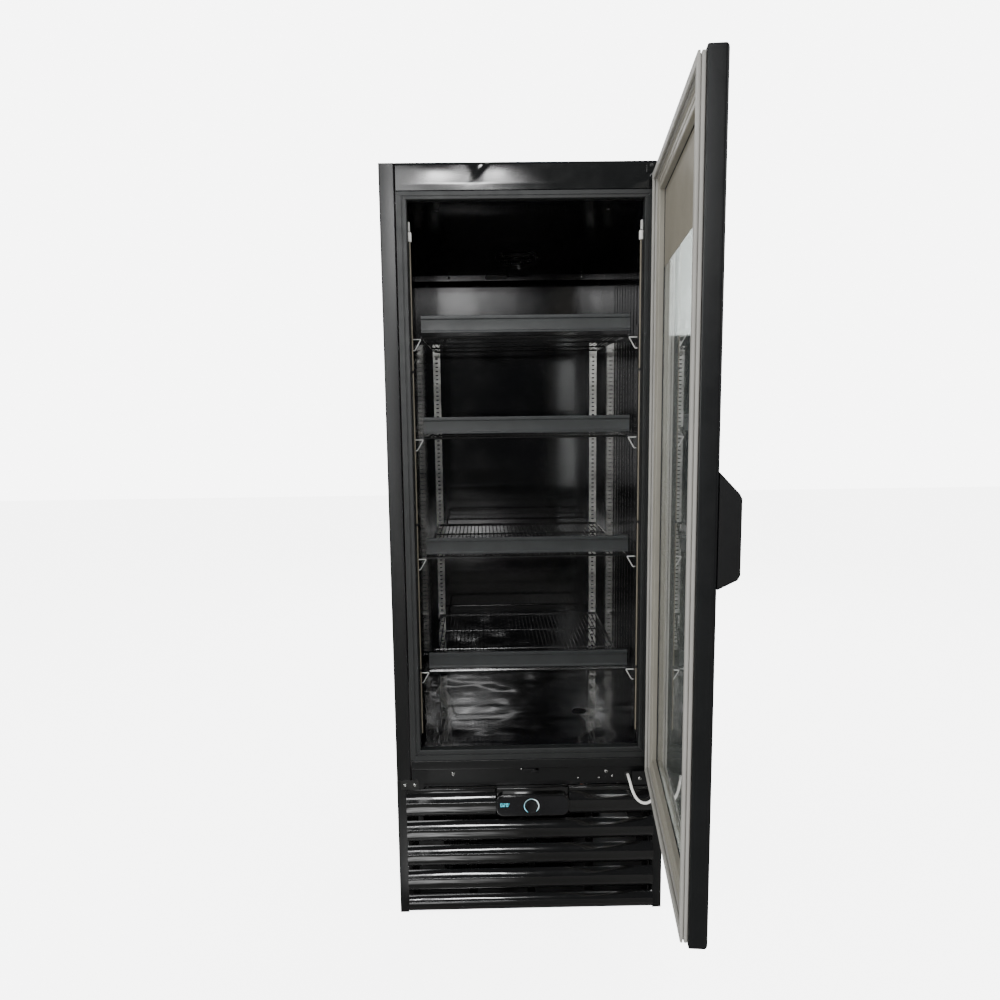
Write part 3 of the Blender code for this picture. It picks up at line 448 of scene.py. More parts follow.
def finish(
    name,
    colour,
    roughness,
    metallic=0.0,
    mottling=0.12,
    patch=6.0,
    gloss_spread=0.05,
    grain=700.0,
    grain_depth=0.00002,
    wave=0.0,
    wave_scale=5.0,
    coat=0.0,
    specular=0.5,
):
    """A solid surface: patches of colour and gloss, a fine grain and, on thin sheet, long shallow waves."""
    made = bpy.data.materials.new(name)
    made.use_nodes = True
    tree = made.node_tree
    shader = tree.nodes["Principled BSDF"]
    shader.inputs["Metallic"].default_value = metallic
    shader.inputs["Coat Weight"].default_value = coat
    shader.inputs["Coat Roughness"].default_value = 0.04
    shader.inputs["Specular IOR Level"].default_value = specular
    place = add_node(tree, "TexCoord")
    mapping = add_node(tree, "Mapping", [("Vector", place.outputs["Object"])])

    def noise_at(scale, detail):
        links = [("Vector", mapping.outputs["Vector"])]
        return add_node(tree, "TexNoise", links, Scale=scale, Detail=detail).outputs["Fac"]

    ramp = add_node(tree, "ValToRGB", [("Fac", noise_at(patch, 4.0))])
    for stop, position, share in zip(ramp.color_ramp.elements, (0.3, 0.7), (1 - mottling, 1 + mottling)):
        stop.position = position
        stop.color = (*[min(1.0, c * share) for c in colour], 1.0)
    tree.links.new(ramp.outputs["Color"], shader.inputs["Base Color"])
    gloss = add_node(
        tree,
        "MapRange",
        [("Value", noise_at(patch * 2.3, 5.0))],
        From_Min=0.3,
        From_Max=0.7,
        To_Min=max(0.01, roughness - gloss_spread),
        To_Max=roughness + gloss_spread,
    )
    tree.links.new(gloss.outputs["Result"], shader.inputs["Roughness"])
    normal = None
    for scale, depth, detail in ((wave_scale, wave, 1.0), (grain, grain_depth, 2.0)):
        if depth:
            links = [("Height", noise_at(scale, detail))]
            if normal:
                links.append(("Normal", normal))
            normal = add_node(tree, "Bump", links, Distance=depth, Strength=1.0).outputs["Normal"]
    if normal:
        tree.links.new(normal, shader.inputs["Normal"])
    return made


def own_place(tree):
    """The finish's own object coordinates."""
    return next(node for node in tree.nodes if node.type == "TEX_COORD").outputs["Object"]


def floor_finish():
    """The pale studio floor: bright to the eye, dark in the cabinet's gloss but for one lit patch."""
    made = finish("floor_pale", (0.86, 0.86, 0.85), 0.8, mottling=0.02, grain_depth=0.0)
    tree = made.node_tree
    shader = tree.nodes["Principled BSDF"]
    shader.inputs["Emission Color"].default_value = (1.0, 1.0, 1.0, 1.0)
    path = add_node(tree, "LightPath")
    tree.links.new(multiply(tree, path.outputs["Is Camera Ray"], 5.2), shader.inputs["Emission Strength"])
    place = own_place(tree)
    split = add_node(tree, "SeparateXYZ", [("Vector", place)])
    streaks = add_node(tree, "TexNoise", [("Vector", place)], Scale=14.0, Detail=3.0)
    lit = None
    for source, start, end, low, high in (
        (split.outputs["X"], -0.345, -0.325, 0.0, 1.0),
        (split.outputs["X"], -0.310, 0.020, 1.0, 0.0),
        (split.outputs["Y"], -0.920, -0.780, 0.0, 1.0),
        (split.outputs["Y"], -0.540, -0.440, 1.0, 0.0),
        (streaks.outputs["Fac"], 0.35, 0.62, 0.25, 1.0),
    ):
        ends = {"From_Min": start, "From_Max": end, "To_Min": low, "To_Max": high}
        share = add_node(tree, "MapRange", [("Value", source)], **ends)
        share.interpolation_type = "SMOOTHSTEP"
        lit = share.outputs["Result"] if lit is None else multiply(tree, lit, share.outputs["Result"])
    dark = add_node(tree, "BsdfDiffuse", Color=(0.16, 0.16, 0.155, 1.0))
    patch = add_node(tree, "Emission", [("Strength", multiply(tree, lit, 5.0))])
    both = add_node(tree, "AddShader", [(0, dark.outputs["BSDF"]), (1, patch.outputs["Emission"])])
    links = [("Fac", path.outputs["Is Glossy Ray"]), (1, shader.outputs["BSDF"]), (2, both.outputs["Shader"])]
    mix = add_node(tree, "MixShader", links)
    tree.links.new(mix.outputs["Shader"], tree.nodes["Material Output"].inputs["Surface"])
    return made


def glass_finish():
    """Clear float glass with a faint green tint and a light film of dust."""
    made = finish("door_glass", (0.93, 0.97, 0.95), 0.02, mottling=0.01, gloss_spread=0.012, grain_depth=0.0)
    shader = made.node_tree.nodes["Principled BSDF"]
    shader.inputs["Transmission Weight"].default_value = 1.0
    shader.inputs["IOR"].default_value = 1.45
    return made


def glow_finish(name, colour, strength):
    """A lit display element, slightly uneven as a diffused light is."""
    made = finish(name, colour, 0.4, grain_depth=0.0)
    tree = made.node_tree
    shader = tree.nodes["Principled BSDF"]
    ramp = next(node for node in tree.nodes if node.type == "VALTORGB")
    tree.links.new(ramp.outputs["Color"], shader.inputs["Emission Color"])
    shader.inputs["Emission Strength"].default_value = strength
    return made


def ring_glow_finish(centre):
    """The dial's light ring: cyan at the lower left, turning to white at the right, and unlit at the top."""
    made = glow_finish("dial_ring_light", (0.6, 0.9, 1.0), 2.2)
    tree = made.node_tree
    shader = tree.nodes["Principled BSDF"]
    turn = add_node(tree, "Mapping", [("Vector", own_place(tree))], Location=-Vector(centre))
    split = add_node(tree, "SeparateXYZ", [("Vector", turn.outputs["Vector"])])
    angle = add_node(tree, "Math", [(0, split.outputs["X"]), (1, split.outputs["Z"])])
    angle.operation = "ARCTAN2"
    share = add_node(tree, "MapRange", [("Value", angle.outputs["Value"])], From_Min=-pi, From_Max=pi)
    ramp = add_node(tree, "ValToRGB", [("Fac", share.outputs["Result"])])
    stops = ramp.color_ramp.elements
    stops[0].position = 0.0
    stops[0].color = (0.02, 0.55, 0.75, 1.0)
    stops[1].position = 1.0
    stops[1].color = (0.05, 0.60, 0.80, 1.0)
    for position, colour in (
        (0.22, (0.02, 0.50, 0.70, 1.0)),
        (0.32, (0.002, 0.02, 0.03, 1.0)),
        (0.50, (0.004, 0.006, 0.008, 1.0)),
        (0.60, (0.75, 0.82, 0.85, 1.0)),
        (0.78, (0.85, 0.92, 0.95, 1.0)),
        (0.90, (0.30, 0.75, 0.88, 1.0)),
    ):
        stops.new(position).color = colour
    tree.links.new(ramp.outputs["Color"], shader.inputs["Emission Color"])
    return made


make_camera()

F = {
    "shell": finish(
        "shell_paint",
        (0.0065, 0.0068, 0.007),
        0.30,
        0.0,
        0.07,
        3.0,
        0.015,
        wave=0.004,
        wave_scale=2.2,
        specular=0.4,
    ),
    "header": finish("header_enamel", (0.007, 0.0075, 0.0075), 0.13, patch=14.0, gloss_spread=0.03),
    "liner": finish(
        "liner_enamel", (0.003, 0.003, 0.0038), 0.12, coat=0.1, wave=0.002, wave_scale=3.0, gloss_spread=0.03
    ),
    "floor": finish(
        "liner_floor_enamel",
        (0.004, 0.004, 0.005),
        0.09,
        coat=0.6,
        wave=0.012,
        wave_scale=9.0,
        gloss_spread=0.03,
    ),
    "trim": finish("trim_grey_plastic", (0.014, 0.0155, 0.0155), 0.45, patch=20.0, grain_depth=0.00004),
    "rail": finish("price_rail_plastic", (0.021, 0.0235, 0.0242), 0.40, patch=20.0, grain_depth=0.00003),
    "wire": finish("wire_coating", (0.008, 0.008, 0.008), 0.16, patch=60.0, specular=0.7),
    "zinc": finish("zinc_plate", (0.42, 0.42, 0.40), 0.38, metallic=1.0, mottling=0.22, patch=45.0),
    "hook": finish("hook_zinc", (0.78, 0.78, 0.76), 0.42, metallic=0.5, patch=120.0),
    "screw": finish("screw_steel", (0.60, 0.60, 0.58), 0.22, metallic=1.0, patch=120.0),
    "louvre": finish("louvre_gloss", (0.004, 0.004, 0.004), 0.10, coat=0.7, patch=16.0, gloss_spread=0.03),
    "lens": finish("lens_gloss", (0.004, 0.004, 0.005), 0.05, coat=0.6, patch=30.0, gloss_spread=0.02),
    "plastic": finish(
        "black_plastic", (0.005, 0.005, 0.0055), 0.48, specular=0.3, patch=30.0, grain_depth=0.00005
    ),
    "door": finish(
        "door_powder_coat",
        (0.006, 0.0065, 0.007),
        0.36,
        patch=12.0,
        wave=0.001,
        grain_depth=0.00004,
        specular=0.3,
    ),
    "pvc": finish("liner_pvc", (0.235, 0.222, 0.185), 0.50, patch=8.0, mottling=0.06),
    "gasket": finish("gasket_vinyl", (0.31, 0.303, 0.28), 0.60, patch=10.0, mottling=0.07),
    "glazing": finish("glazing_rubber", (0.015, 0.015, 0.014), 0.6, patch=20.0),
    "film": finish("header_film", (0.20, 0.183, 0.145), 0.60, patch=5.0, mottling=0.08, grain_depth=0.0),
    "glass": glass_finish(),
    "aluminium": finish("mill_aluminium", (0.62, 0.62, 0.60), 0.34, metallic=1.0, patch=30.0),
    "fin": finish("fin_aluminium", (0.55, 0.56, 0.56), 0.30, metallic=1.0, patch=50.0),
    "copper": finish("copper_tube", (0.66, 0.31, 0.18), 0.28, metallic=1.0, mottling=0.2, patch=40.0),
    "matte": finish("tray_paint", (0.003, 0.003, 0.003), 0.60, patch=9.0, specular=0.15),
    "chrome": finish("bracket_plate", (0.14, 0.14, 0.14), 0.13, metallic=1.0, mottling=0.15, patch=45.0),
    # Black coil coating: partly real, as coils are often black-coated, and partly painted shade that keeps
    # the machine compartment dark.
    "coil": finish("coil_coating_painted_shade", (0.006, 0.006, 0.006), 0.5, patch=40.0, specular=0.2),
    "cream": finish("led_diffuser", (0.17, 0.15, 0.112), 0.45, patch=40.0, mottling=0.06),
    "white": finish("white_nylon", (0.78, 0.77, 0.74), 0.40, patch=60.0, mottling=0.04),
    "lead": finish("lead_jacket", (0.80, 0.79, 0.75), 0.38, patch=90.0, mottling=0.05),
    # Real black rubber for grommets, and also the dark colour that paints the shade in screw recesses, drain
    # slots and the finger slot.
    "rubber": finish("black_rubber_and_recess_shade", (0.014, 0.014, 0.014), 0.65, patch=50.0),
    "compressor": finish(
        "compressor_paint", (0.015, 0.015, 0.015), 0.36, patch=25.0, grain_depth=0.00008, grain=400.0
    ),
    "label": finish("blank_plate", (0.50, 0.50, 0.48), 0.40, patch=30.0, mottling=0.05),
    "digits": glow_finish("display_digits", (0.10, 0.75, 0.95), 1.3),
}


# ---------------------------------------------------------------- door lead

def lead_route():
    """The drooping lead, from its grommet in the kick strip to the underside of the lower hinge."""
    return [
        (0.2430, FRONT + 0.0085, 0.3520),
        (0.2432, FRONT - 0.0020, 0.3505),
        (0.2450, FRONT - 0.0130, 0.3420),
        (0.2490, FRONT - 0.0210, 0.3260),
        (0.2570, FRONT - 0.0265, 0.3090),
        (0.2690, FRONT - 0.0290, 0.2980),
        (0.2830, FRONT - 0.0292, 0.2955),
        (0.2950, FRONT - 0.0290, 0.3025),
        (0.3020, FRONT - 0.0290, 0.3170),
        (0.3046, FRONT - 0.0290, 0.3360),
        (0.3050, FRONT - 0.0290, 0.3606),
    ]


def smooth_route(points, steps):
    """Points along a Catmull-Rom curve through the route."""
    path = [Vector(point) for point in points]
    path = [2 * path[0] - path[1]] + path + [2 * path[-1] - path[-2]]
    made = []
    for a, b, c, d in zip(path, path[1:], path[2:], path[3:]):
        for i in range(steps):
            t = i / steps
            square = 2 * a - 5 * b + 4 * c - d
            cube = 3 * b - a - 3 * c + d
            made.append(0.5 * (2 * b + (c - a) * t + square * t**2 + cube * t**3))
    made.append(path[-2])
    return made


def make_lead():
    route = smooth_route(lead_route(), 6)
    radius = 0.00325
    builder = bmesh.new()
    add_tube(builder, route, radius, 14)
    lead = piece("door_lead_jacket", builder, F["lead"], replaced=["door_lead"])


make_lead()


# ---------------------------------------------------------------- fasteners

def add_dome(builder, centre, radius, rise, axis=1, facing=-1):
    """A low round screw head standing on a surface."""
    profile = [(radius, 0.0)]
    for i in range(1, 6):
        angle = 0.5 * pi * i / 5
        profile.append((radius * cos(angle) if i < 5 else 0.0, facing * rise * sin(angle)))
    add_lathe(builder, profile, axis, centre, 18)


def make_screws(name, centres, radius, rise, material, axis=1, facing=-1, cross=None):
    """Pan-head screws; when cross is a finish, a dark cross on each head stands in for the shade inside its
    recess (painted shade).
    """
    heads = bmesh.new()
    for centre in centres:
        add_dome(heads, centre, radius, rise, axis, facing)
    piece(name, heads, material)
    if cross:
        # Painted shade: dark crosses sit where the shade inside each screw's recess falls.
        recess_shade_marks = bmesh.new()
        for centre in centres:
            for long_axis in (i for i in range(3) if i != axis):
                low = list(centre)
                high = list(centre)
                for i in range(3):
                    reach = radius * (0.52 if i == long_axis else 0.11)
                    if i == axis:
                        continue
                    low[i] -= reach
                    high[i] += reach
                low[axis], high[axis] = sorted(
                    (centre[axis] + facing * rise * 0.5, centre[axis] + facing * rise * 1.02)
                )
                add_box(recess_shade_marks, low, high)
        piece(name + "_recess_painted_shade", recess_shade_marks, cross, smooth=None)


# ---------------------------------------------------------------- cabinet shell

def make_side_panels():
    """Folded steel sides with a rounded front corner and a small return behind the flange's inner edge."""
    low, high = SIDE_LOW, SIDE_HIGH
    flange = HALF - low.x
    for side, word in ((-1, "left"), (1, "right")):
        path = filleted(
            [
                (HALF - flange + SHEET, FRONT + 0.009),
                (HALF - flange + SHEET, FRONT),
                (HALF, FRONT),
                (HALF, BACK),
            ],
            0.0028,
        )
        outline = [(side * x, y) for x, y in thickened(path, SHEET)]
        builder = prism(outline, 2, low.z, high.z)
        piece("side_sheet_" + word, builder, F["shell"], replaced=["side_panel_" + word])


def header_bow(x, z, bottom, top):
    """How far the thin header stands out of flat: shallow bulges, and the dent in its top edge."""
    dent_x = -0.112
    up = (z - bottom) / (top - bottom)
    left = 0.0008 * exp(-(((x + 0.205) / 0.060) ** 2) - (((z - top + 0.014) / 0.020) ** 2))
    right = 0.0006 * exp(-(((x + 0.045) / 0.045) ** 2) - (((z - top + 0.012) / 0.020) ** 2))
    ripple = 0.0008 * noise.noise(Vector((x * 7.0, z * 11.0, 1.7)))
    crease = 0.0024 * exp(-(((x - dent_x - 0.20 * (top - z)) / 0.011) ** 2)) * up**3
    side_crease = 0.0015 * exp(-(((x - dent_x - 0.024 + 0.9 * (top - z)) / 0.008) ** 2)) * up**2
    edge = min(1.0, up * 4.0)
    return (left + right + ripple + 0.0009) * edge * min(1.0, (1.02 - up) * 14) - crease - side_crease


def make_header():
    low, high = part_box("header_panel")
    inset = 0.0014
    left, right = low.x + inset, high.x - inset
    roll = 0.0012
    top = high.z
    rows = [("return", 0.014), ("return", 0.004)]
    rows += [("face", z) for z in spread(low.z + 0.0012, top - roll, 22)]
    rows += [("roll", angle) for angle in (0.4, 0.8, 1.2, 1.5)]

    def place(x, row, depth):
        kind, value = row
        if kind == "return":
            return Vector((x, FRONT + value, low.z + depth))
        z = value if kind == "face" else top - roll
        y = FRONT + depth - header_bow(x, z, low.z, top)
        if kind == "roll":
            y += (roll - depth) * (1 - cos(value))
            z += (roll - depth) * sin(value)
            dip = 0.0035 * exp(-(((x + 0.105) / 0.016) ** 2))
            z -= dip * sin(value)
        return Vector((x, y, z))

    builder = bmesh.new()
    add_sheet_grid(builder, spread(left, right, 180), rows, place, SHEET)
    piece("header_sheet", builder, F["header"], replaced=["header_panel"], smooth=60)


def make_breaker():
    """Four mitred plastic extrusions round the opening, with a groove and a soft inner lip."""
    low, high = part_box("breaker_frame")
    opening = 0.267
    opening_top = 1.721
    outer = (low.x, low.z, high.x, high.z)
    inner = (-opening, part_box("liner_floor")[1].z, opening, opening_top)
    section = [(0.0, 0.0012), (0.03, 0.0003), (0.50, 0.0), (0.53, 0.0014), (0.60, 0.0014), (0.63, 0.0002)]
    section += [(0.90, 0.0), (0.97, 0.0010), (1.0, 0.0030)]
    profile = [(share, FRONT + y) for share, y in section]
    profile += [(1.0, high.y), (0.88, high.y), (0.88, FRONT + 0.0042), (0.0, FRONT + 0.0042)]
    seam = 0.00035
    builder = bmesh.new()
    for corners in FRAME_SIDES.values():
        add_mitred_bar(builder, outer, inner, profile, corners, seam)
    piece("breaker_extrusions", builder, F["trim"], replaced=["breaker_frame"], smooth=30)


def make_bottom_rail():
    low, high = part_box("bottom_rail")
    step = 0.377
    recess = high.y - SHEET
    path = filleted(
        [(FRONT + 0.006, high.z), (FRONT, high.z), (FRONT, step), (recess, step), (recess, low.z)], 0.0022
    )
    outline = thickened(path, SHEET)
    builder = prism(outline, 0, low.x + 0.0006, high.x - 0.0006)
    flush = [(low.x + 0.0006, low.z), (-0.2640, low.z), (-0.2516, step), (low.x + 0.0006, step)]
    add_prism(builder, flush, 1, FRONT, recess)
    piece("bottom_rail_sheet", builder, F["shell"], replaced=["bottom_rail"])
    centres = [(-0.190, recess, 0.3600), (0.190, recess, 0.3600)]
    make_screws("kick_screws", centres, 0.0052, 0.0028, F["screw"], cross=F["rubber"])
    small = [(x, recess, z) for x, z in ((0.120, 0.344), (0.172, 0.343), (0.205, 0.347))]
    make_screws("kick_rivets", small, 0.0022, 0.0012, F["screw"])
    clip = bmesh.new()
    add_box(clip, (-0.018, FRONT + 0.0005, step - 0.0085), (0.014, recess, step - 0.0015), 0.0012)
    add_box(clip, (0.004, FRONT + 0.0002, step - 0.0130), (0.022, recess, step - 0.0070), 0.0012)
    piece("door_switch", clip, F["plastic"])
    make_screws(
        "door_switch_pin", [(-0.021, FRONT + 0.006, step - 0.004)], 0.0026, 0.0022, F["screw"]
    )


def make_top_and_back():
    dress("top_panel", "shell", 0.0004, 2)
    low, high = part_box("back_panel")
    face = high.y - 0.0024
    under_lid = high.z - SHEET - 0.0003
    sheet = bmesh.new()
    add_box(sheet, (low.x, face - SHEET, low.z), (high.x, face, under_lid), 0.0003)
    for x in (-0.16, 0.0, 0.16):
        outline = rounded_rectangle((x - 0.007, low.z + 0.14), (x + 0.007, high.z - 0.14), 0.0069, 6)
        add_prism(sheet, outline, 1, face - 0.0004, face + 0.0012)
    piece("back_sheet", sheet, F["shell"], replaced=["back_panel"], smooth=30)
    centres = [(x, face, z) for z in spread(low.z + 0.030, high.z - 0.030, 7) for x in (-0.310, 0.310)]
    make_screws("back_screws", centres, 0.0048, 0.0022, F["screw"], facing=1)


make_side_panels()
make_header()
make_breaker()
make_bottom_rail()
make_top_and_back()


# ---------------------------------------------------------------- liner

def make_liner():
    """Glossy enamelled sheets; the side walls carry shallow upright beads."""
    bead_pitch = 0.040
    bead_rise = 0.0012
    for side, word in ((-1, "left"), (1, "right")):
        bead_end = FRONT + (0.220 if side < 0 else 0.430)
        low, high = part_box("liner_" + word)
        face = low.x if side > 0 else high.x
        rear = high.x if side > 0 else low.x
        steps = int((high.y - low.y) / bead_pitch * 16)
        path = []
        for y in spread(low.y, high.y, steps):
            turn = (y - low.y) / bead_pitch * 2 * pi
            swell = max(0.0, cos(turn)) ** 3 if y < bead_end else 0.0
            path.append((face - side * bead_rise * swell, y))
        outline = path + [(rear, high.y), (rear, low.y)]
        piece(
            "liner_wall_" + word,
            prism(outline, 2, low.z, high.z),
            F["liner"],
            replaced=["liner_" + word],
            smooth=50,
        )
    for node, key in (("liner_back", "liner"), ("liner_ceiling", "liner"), ("liner_floor", "floor")):
        dress(node, key)
    low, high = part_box("liner_floor")
    top = high.z
    drain = bmesh.new()
    x, y = 0.150, -0.125
    profile = [(0.019, 0.0), (0.0185, 0.0016), (0.0145, 0.0020), (0.0135, 0.0004), (0.0, 0.0004)]
    add_lathe(drain, profile, 2, (x, y, top), 28)
    piece("floor_drain", drain, F["plastic"])
    # Painted shade: dark boxes stand in for the shade inside the drain's slots.
    slots = bmesh.new()
    for i in range(-2, 3):
        reach = sqrt(0.0115**2 - (i * 0.0042) ** 2)
        add_box(
            slots,
            (x + i * 0.0042 - 0.0011, y - reach, top),
            (x + i * 0.0042 + 0.0011, y + reach, top + 0.0008),
        )
    piece("floor_drain_slot_painted_shade", slots, F["rubber"], smooth=None)


COVER_FRONT = Vector((0.0, FRONT + 0.062, 1.7446))
COVER_LIP = Vector((0.0, FRONT + 0.600, 1.649))


def cover_underside(y):
    """The height of the sloping cover's shown face."""
    share = (y - COVER_FRONT.y) / (COVER_LIP.y - COVER_FRONT.y)
    return COVER_FRONT.z + (COVER_LIP.z - COVER_FRONT.z) * share - SHEET * 1.25


def make_evaporator_cover():
    """The sloping cover's finger slot, painted as a dark plate of shade, the screws along its front and those
    in its rear lip.
    """
    dress("evaporator_cover", "liner", 0.0004, 2)
    low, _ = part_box("evaporator_cover")
    face = COVER_LIP.y - 0.0012
    # Painted shade: a thin dark plate stands in for the shade inside the finger slot.
    finger_slot_shade = bmesh.new()
    outline = rounded_rectangle((-0.0890, low.z + 0.0030), (-0.0233, low.z + 0.0145), 0.0056, 8)
    add_prism(finger_slot_shade, outline, 1, face - 0.0002, face + 0.0004)
    piece("cover_finger_slot_painted_shade", finger_slot_shade, F["rubber"], smooth=None)
    slope = (COVER_LIP - COVER_FRONT).normalized()
    outward = Vector((0.0, slope.z, -slope.y))
    turn = outward.to_track_quat("-Y", "Z").to_matrix().to_4x4()
    screws = bmesh.new()
    for x in (-0.2065, 0.2065):
        centre = Vector((x, 0, 0)) + COVER_FRONT + slope * 0.079 + outward * 0.0012
        head = bmesh.new()
        add_dome(head, (0, 0, 0), 0.0036, 0.0022)
        bmesh.ops.transform(head, matrix=Matrix.Translation(centre) @ turn, verts=head.verts)
        mesh = bpy.data.meshes.new("head")
        head.to_mesh(mesh)
        head.free()
        screws.from_mesh(mesh)
        bpy.data.meshes.remove(mesh)
    piece("cover_slope_screws", screws, F["compressor"])
    lip = [(x, face, low.z + 0.0085) for x in (-0.198, 0.199)]
    make_screws("cover_lip_screws", lip, 0.0042, 0.0026, F["screw"], cross=F["rubber"])


def make_led_strips():
    """A slim light bar: a dark channel, a cream diffuser along it and a white connector near its top."""
    for side, word in ((-1, "left"), (1, "right")):
        low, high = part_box("led_strip_" + word)
        wall = high.x if side > 0 else low.x
        plug_low = 1.636
        plug_high = 1.656
        for part, key, start, reach, inset, bottom, height, soft in (
            ("channel", "plastic", 0.0, 0.0052, 0.0012, low.z, plug_low, 0.0006),
            ("diffuser", "cream", 0.0040, 0.0078, 0.0024, low.z + 0.004, plug_low, 0.0011),
            ("plug", "white", 0.0, 0.0100, -0.0004, plug_low, plug_high, 0.0012),
            ("socket", "label", 0.0, 0.0072, 0.0004, plug_high + 0.0020, plug_high + 0.0230, 0.0012),
            ("channel_end", "plastic", 0.0, 0.0030, 0.0012, plug_high + 0.0236, high.z, 0.0006),
        ):
            bar = bmesh.new()
            near, far = sorted((wall - side * start, wall - side * reach))
            add_box(bar, (near, low.y + inset, bottom), (far, high.y - inset, height), soft)
            shown = ["led_strip_" + word] if part == "diffuser" else ()
            piece(f"led_{part}_{word}", bar, F[key], replaced=shown)
        clips = bmesh.new()
        for z in (0.62, 0.98, 1.34):
            near, far = sorted((wall, wall - side * 0.0086))
            add_box(clips, (near, low.y, z), (far, high.y, z + 0.006), 0.0008)
        piece("led_clips_" + word, clips, F["plastic"])


make_liner()
make_evaporator_cover()
make_led_strips()


# ---------------------------------------------------------------- shelves and what carries them

SLOT_PITCH = 0.0127


def make_pilasters():
    """Zinc channels with a column of slots, each wall a real sheet."""
    slot_height = 0.0036
    slot_half = 0.0040
    for word in ("left", "right"):
        low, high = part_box("pilaster_rear_" + word)
        face = low.y
        wall = 0.0012
        count = int((high.z - low.z - 0.012) / SLOT_PITCH)
        levels = [low.z]
        is_slot = []
        for i in range(count):
            start = low.z + 0.008 + i * SLOT_PITCH
            levels.extend((start, start + slot_height))
            is_slot.extend((False, True))
        levels.append(high.z)
        is_slot.append(False)
        middle = (low.x + high.x) / 2
        columns = [low.x, middle - slot_half, middle + slot_half, high.x]
        builder = bmesh.new()
        grid = {}
        for i, x in enumerate(columns):
            for j, z in enumerate(levels):
                for k, y in enumerate((face, face + wall)):
                    grid[i, j, k] = builder.verts.new((x, y, z))
        for i in range(3):
            for j in range(len(levels) - 1):
                if i == 1 and is_slot[j]:
                    for a, b in (
                        ((1, j), (1, j + 1)), ((2, j), (2, j + 1)), ((1, j), (2, j)), ((1, j + 1), (2, j + 1))
                    ):
                        builder.faces.new((grid[*a, 0], grid[*b, 0], grid[*b, 1], grid[*a, 1]))
                    continue
                for k in (0, 1):
                    builder.faces.new(
                        (grid[i, j, k], grid[i + 1, j, k], grid[i + 1, j + 1, k], grid[i, j + 1, k])
                    )
        for j in range(len(levels) - 1):
            for i in (0, 3):
                builder.faces.new((grid[i, j, 0], grid[i, j + 1, 0], grid[i, j + 1, 1], grid[i, j, 1]))
        for i in range(3):
            for j in (0, len(levels) - 1):
                builder.faces.new((grid[i, j, 0], grid[i + 1, j, 0], grid[i + 1, j, 1], grid[i, j, 1]))
        add_box(builder, (low.x, face + wall, low.z), (low.x + wall, high.y, high.z))
        add_box(builder, (high.x - wall, face + wall, low.z), (high.x, high.y, high.z))
        replaced = ["pilaster_rear_" + word]
        piece("pilaster_channel_" + word, builder, F["zinc"], replaced=replaced, smooth=None)
        dress("pilaster_front_" + word, "wire", 0.0008)


def shelf_wires(height, low, high):
    """The welded deck: many thin wires to the back, thicker ones across, a rim and a raised rear stop."""
    builder = bmesh.new()
    thin = 0.0013
    thick = 0.0024
    left, right = low.x + thick, high.x - thick
    front, rear = low.y + thick, high.y - 0.030
    top = height + 0.0012
    count = 45
    for x in spread(left + 0.0045, right - 0.0045, count):
        path = [
            (x, front, height - 0.0022),
            (x, front + 0.0012, top),
            (x, rear - 0.001, top),
            (x, rear, top - 0.002),
        ]
        add_tube(builder, path, thin, 6)
    for share in (0.02, 0.34, 0.67, 0.985):
        y = front + share * (rear - front)
        add_tube(
            builder,
            [(left, y, height - 0.0001 - thick / 2), (right, y, height - 0.0001 - thick / 2)],
            thick,
            8,
        )
    for x in (left, right):
        add_tube(builder, [(x, front, height), (x, rear, height)], thick, 8)
    add_tube(builder, [(left, front, height), (right, front, height)], thick, 8)
    add_tube(builder, [(left, rear, height), (right, rear, height)], thick, 8)
    rise = 0.034
    stop = bent(
        [
            (left + 0.028, rear - 0.004, height),
            (left + 0.030, rear - 0.016, height + rise),
            (right - 0.030, rear - 0.016, height + rise),
            (right - 0.028, rear - 0.004, height),
        ],
        0.012,
    )
    add_tube(builder, stop, 0.0021, 8)
    return builder


def make_price_rail(number):
    """A moulded ticket rail: a flat face between a rolled upper lip and a hooked lower one."""
    low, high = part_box(f"price_rail_{number}")
    wall = 0.0015
    face = low.y
    hook = [
        (face + 0.0068, low.z + 0.0010),
        (face, low.z),
        (face, low.z + 0.0042),
        (face + 0.0018, low.z + 0.0056),
    ]
    lip = [(face + 0.0018, high.z - 0.0092), (face, high.z - 0.0078), (face, high.z), (face + 0.0072, high.z)]
    path = filleted(hook + lip, 0.0011)
    builder = prism(thickened(path, -wall), 0, low.x + 0.0035, high.x - 0.0005)
    replaced = [f"price_rail_{number}"]
    piece(f"ticket_rail_{number}", builder, F["rail"], replaced=replaced, smooth=30)


def make_shelf_clips(height):
    """Bent zinc hooks from the front strips to the shelf, and white nylon blocks on the rear channels."""
    builder = bmesh.new()
    blocks = bmesh.new()
    wire = 0.0014
    for side in (-1, 1):
        wall_x = side * 0.2670
        end_x = side * 0.2490
        y = -0.283
        path = bent(
            [
                (wall_x, y, height - 0.0040),
                (end_x, y, height - 0.0040),
                (end_x + side * 0.0006, y, height - 0.0065),
                (wall_x - side * 0.0040, y, height - 0.0300),
                (wall_x, y, height - 0.0300),
            ],
            0.0025,
        )
        add_tube(builder, path, wire, 8)
        x = side * 0.2435
        low = (x - 0.0065, 0.2905, height - 0.0105)
        high = (x + 0.0065, 0.3012, height - 0.0035)
        add_box(blocks, low, high, 0.0012)
    return builder, blocks


def make_shelves():
    for number in range(1, 5):
        low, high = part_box(f"shelf_{number}")
        height = (low.z + high.z) / 2
        builder = shelf_wires(height, low, high)
        piece(f"shelf_deck_{number}", builder, F["wire"], replaced=[f"shelf_{number}"])
        make_price_rail(number)
        hooks, blocks = make_shelf_clips(height)
        piece(f"shelf_hooks_{number}", hooks, F["hook"])
        piece(f"shelf_blocks_{number}", blocks, F["white"])


make_pilasters()
make_shelves()


# ---------------------------------------------------------------- base

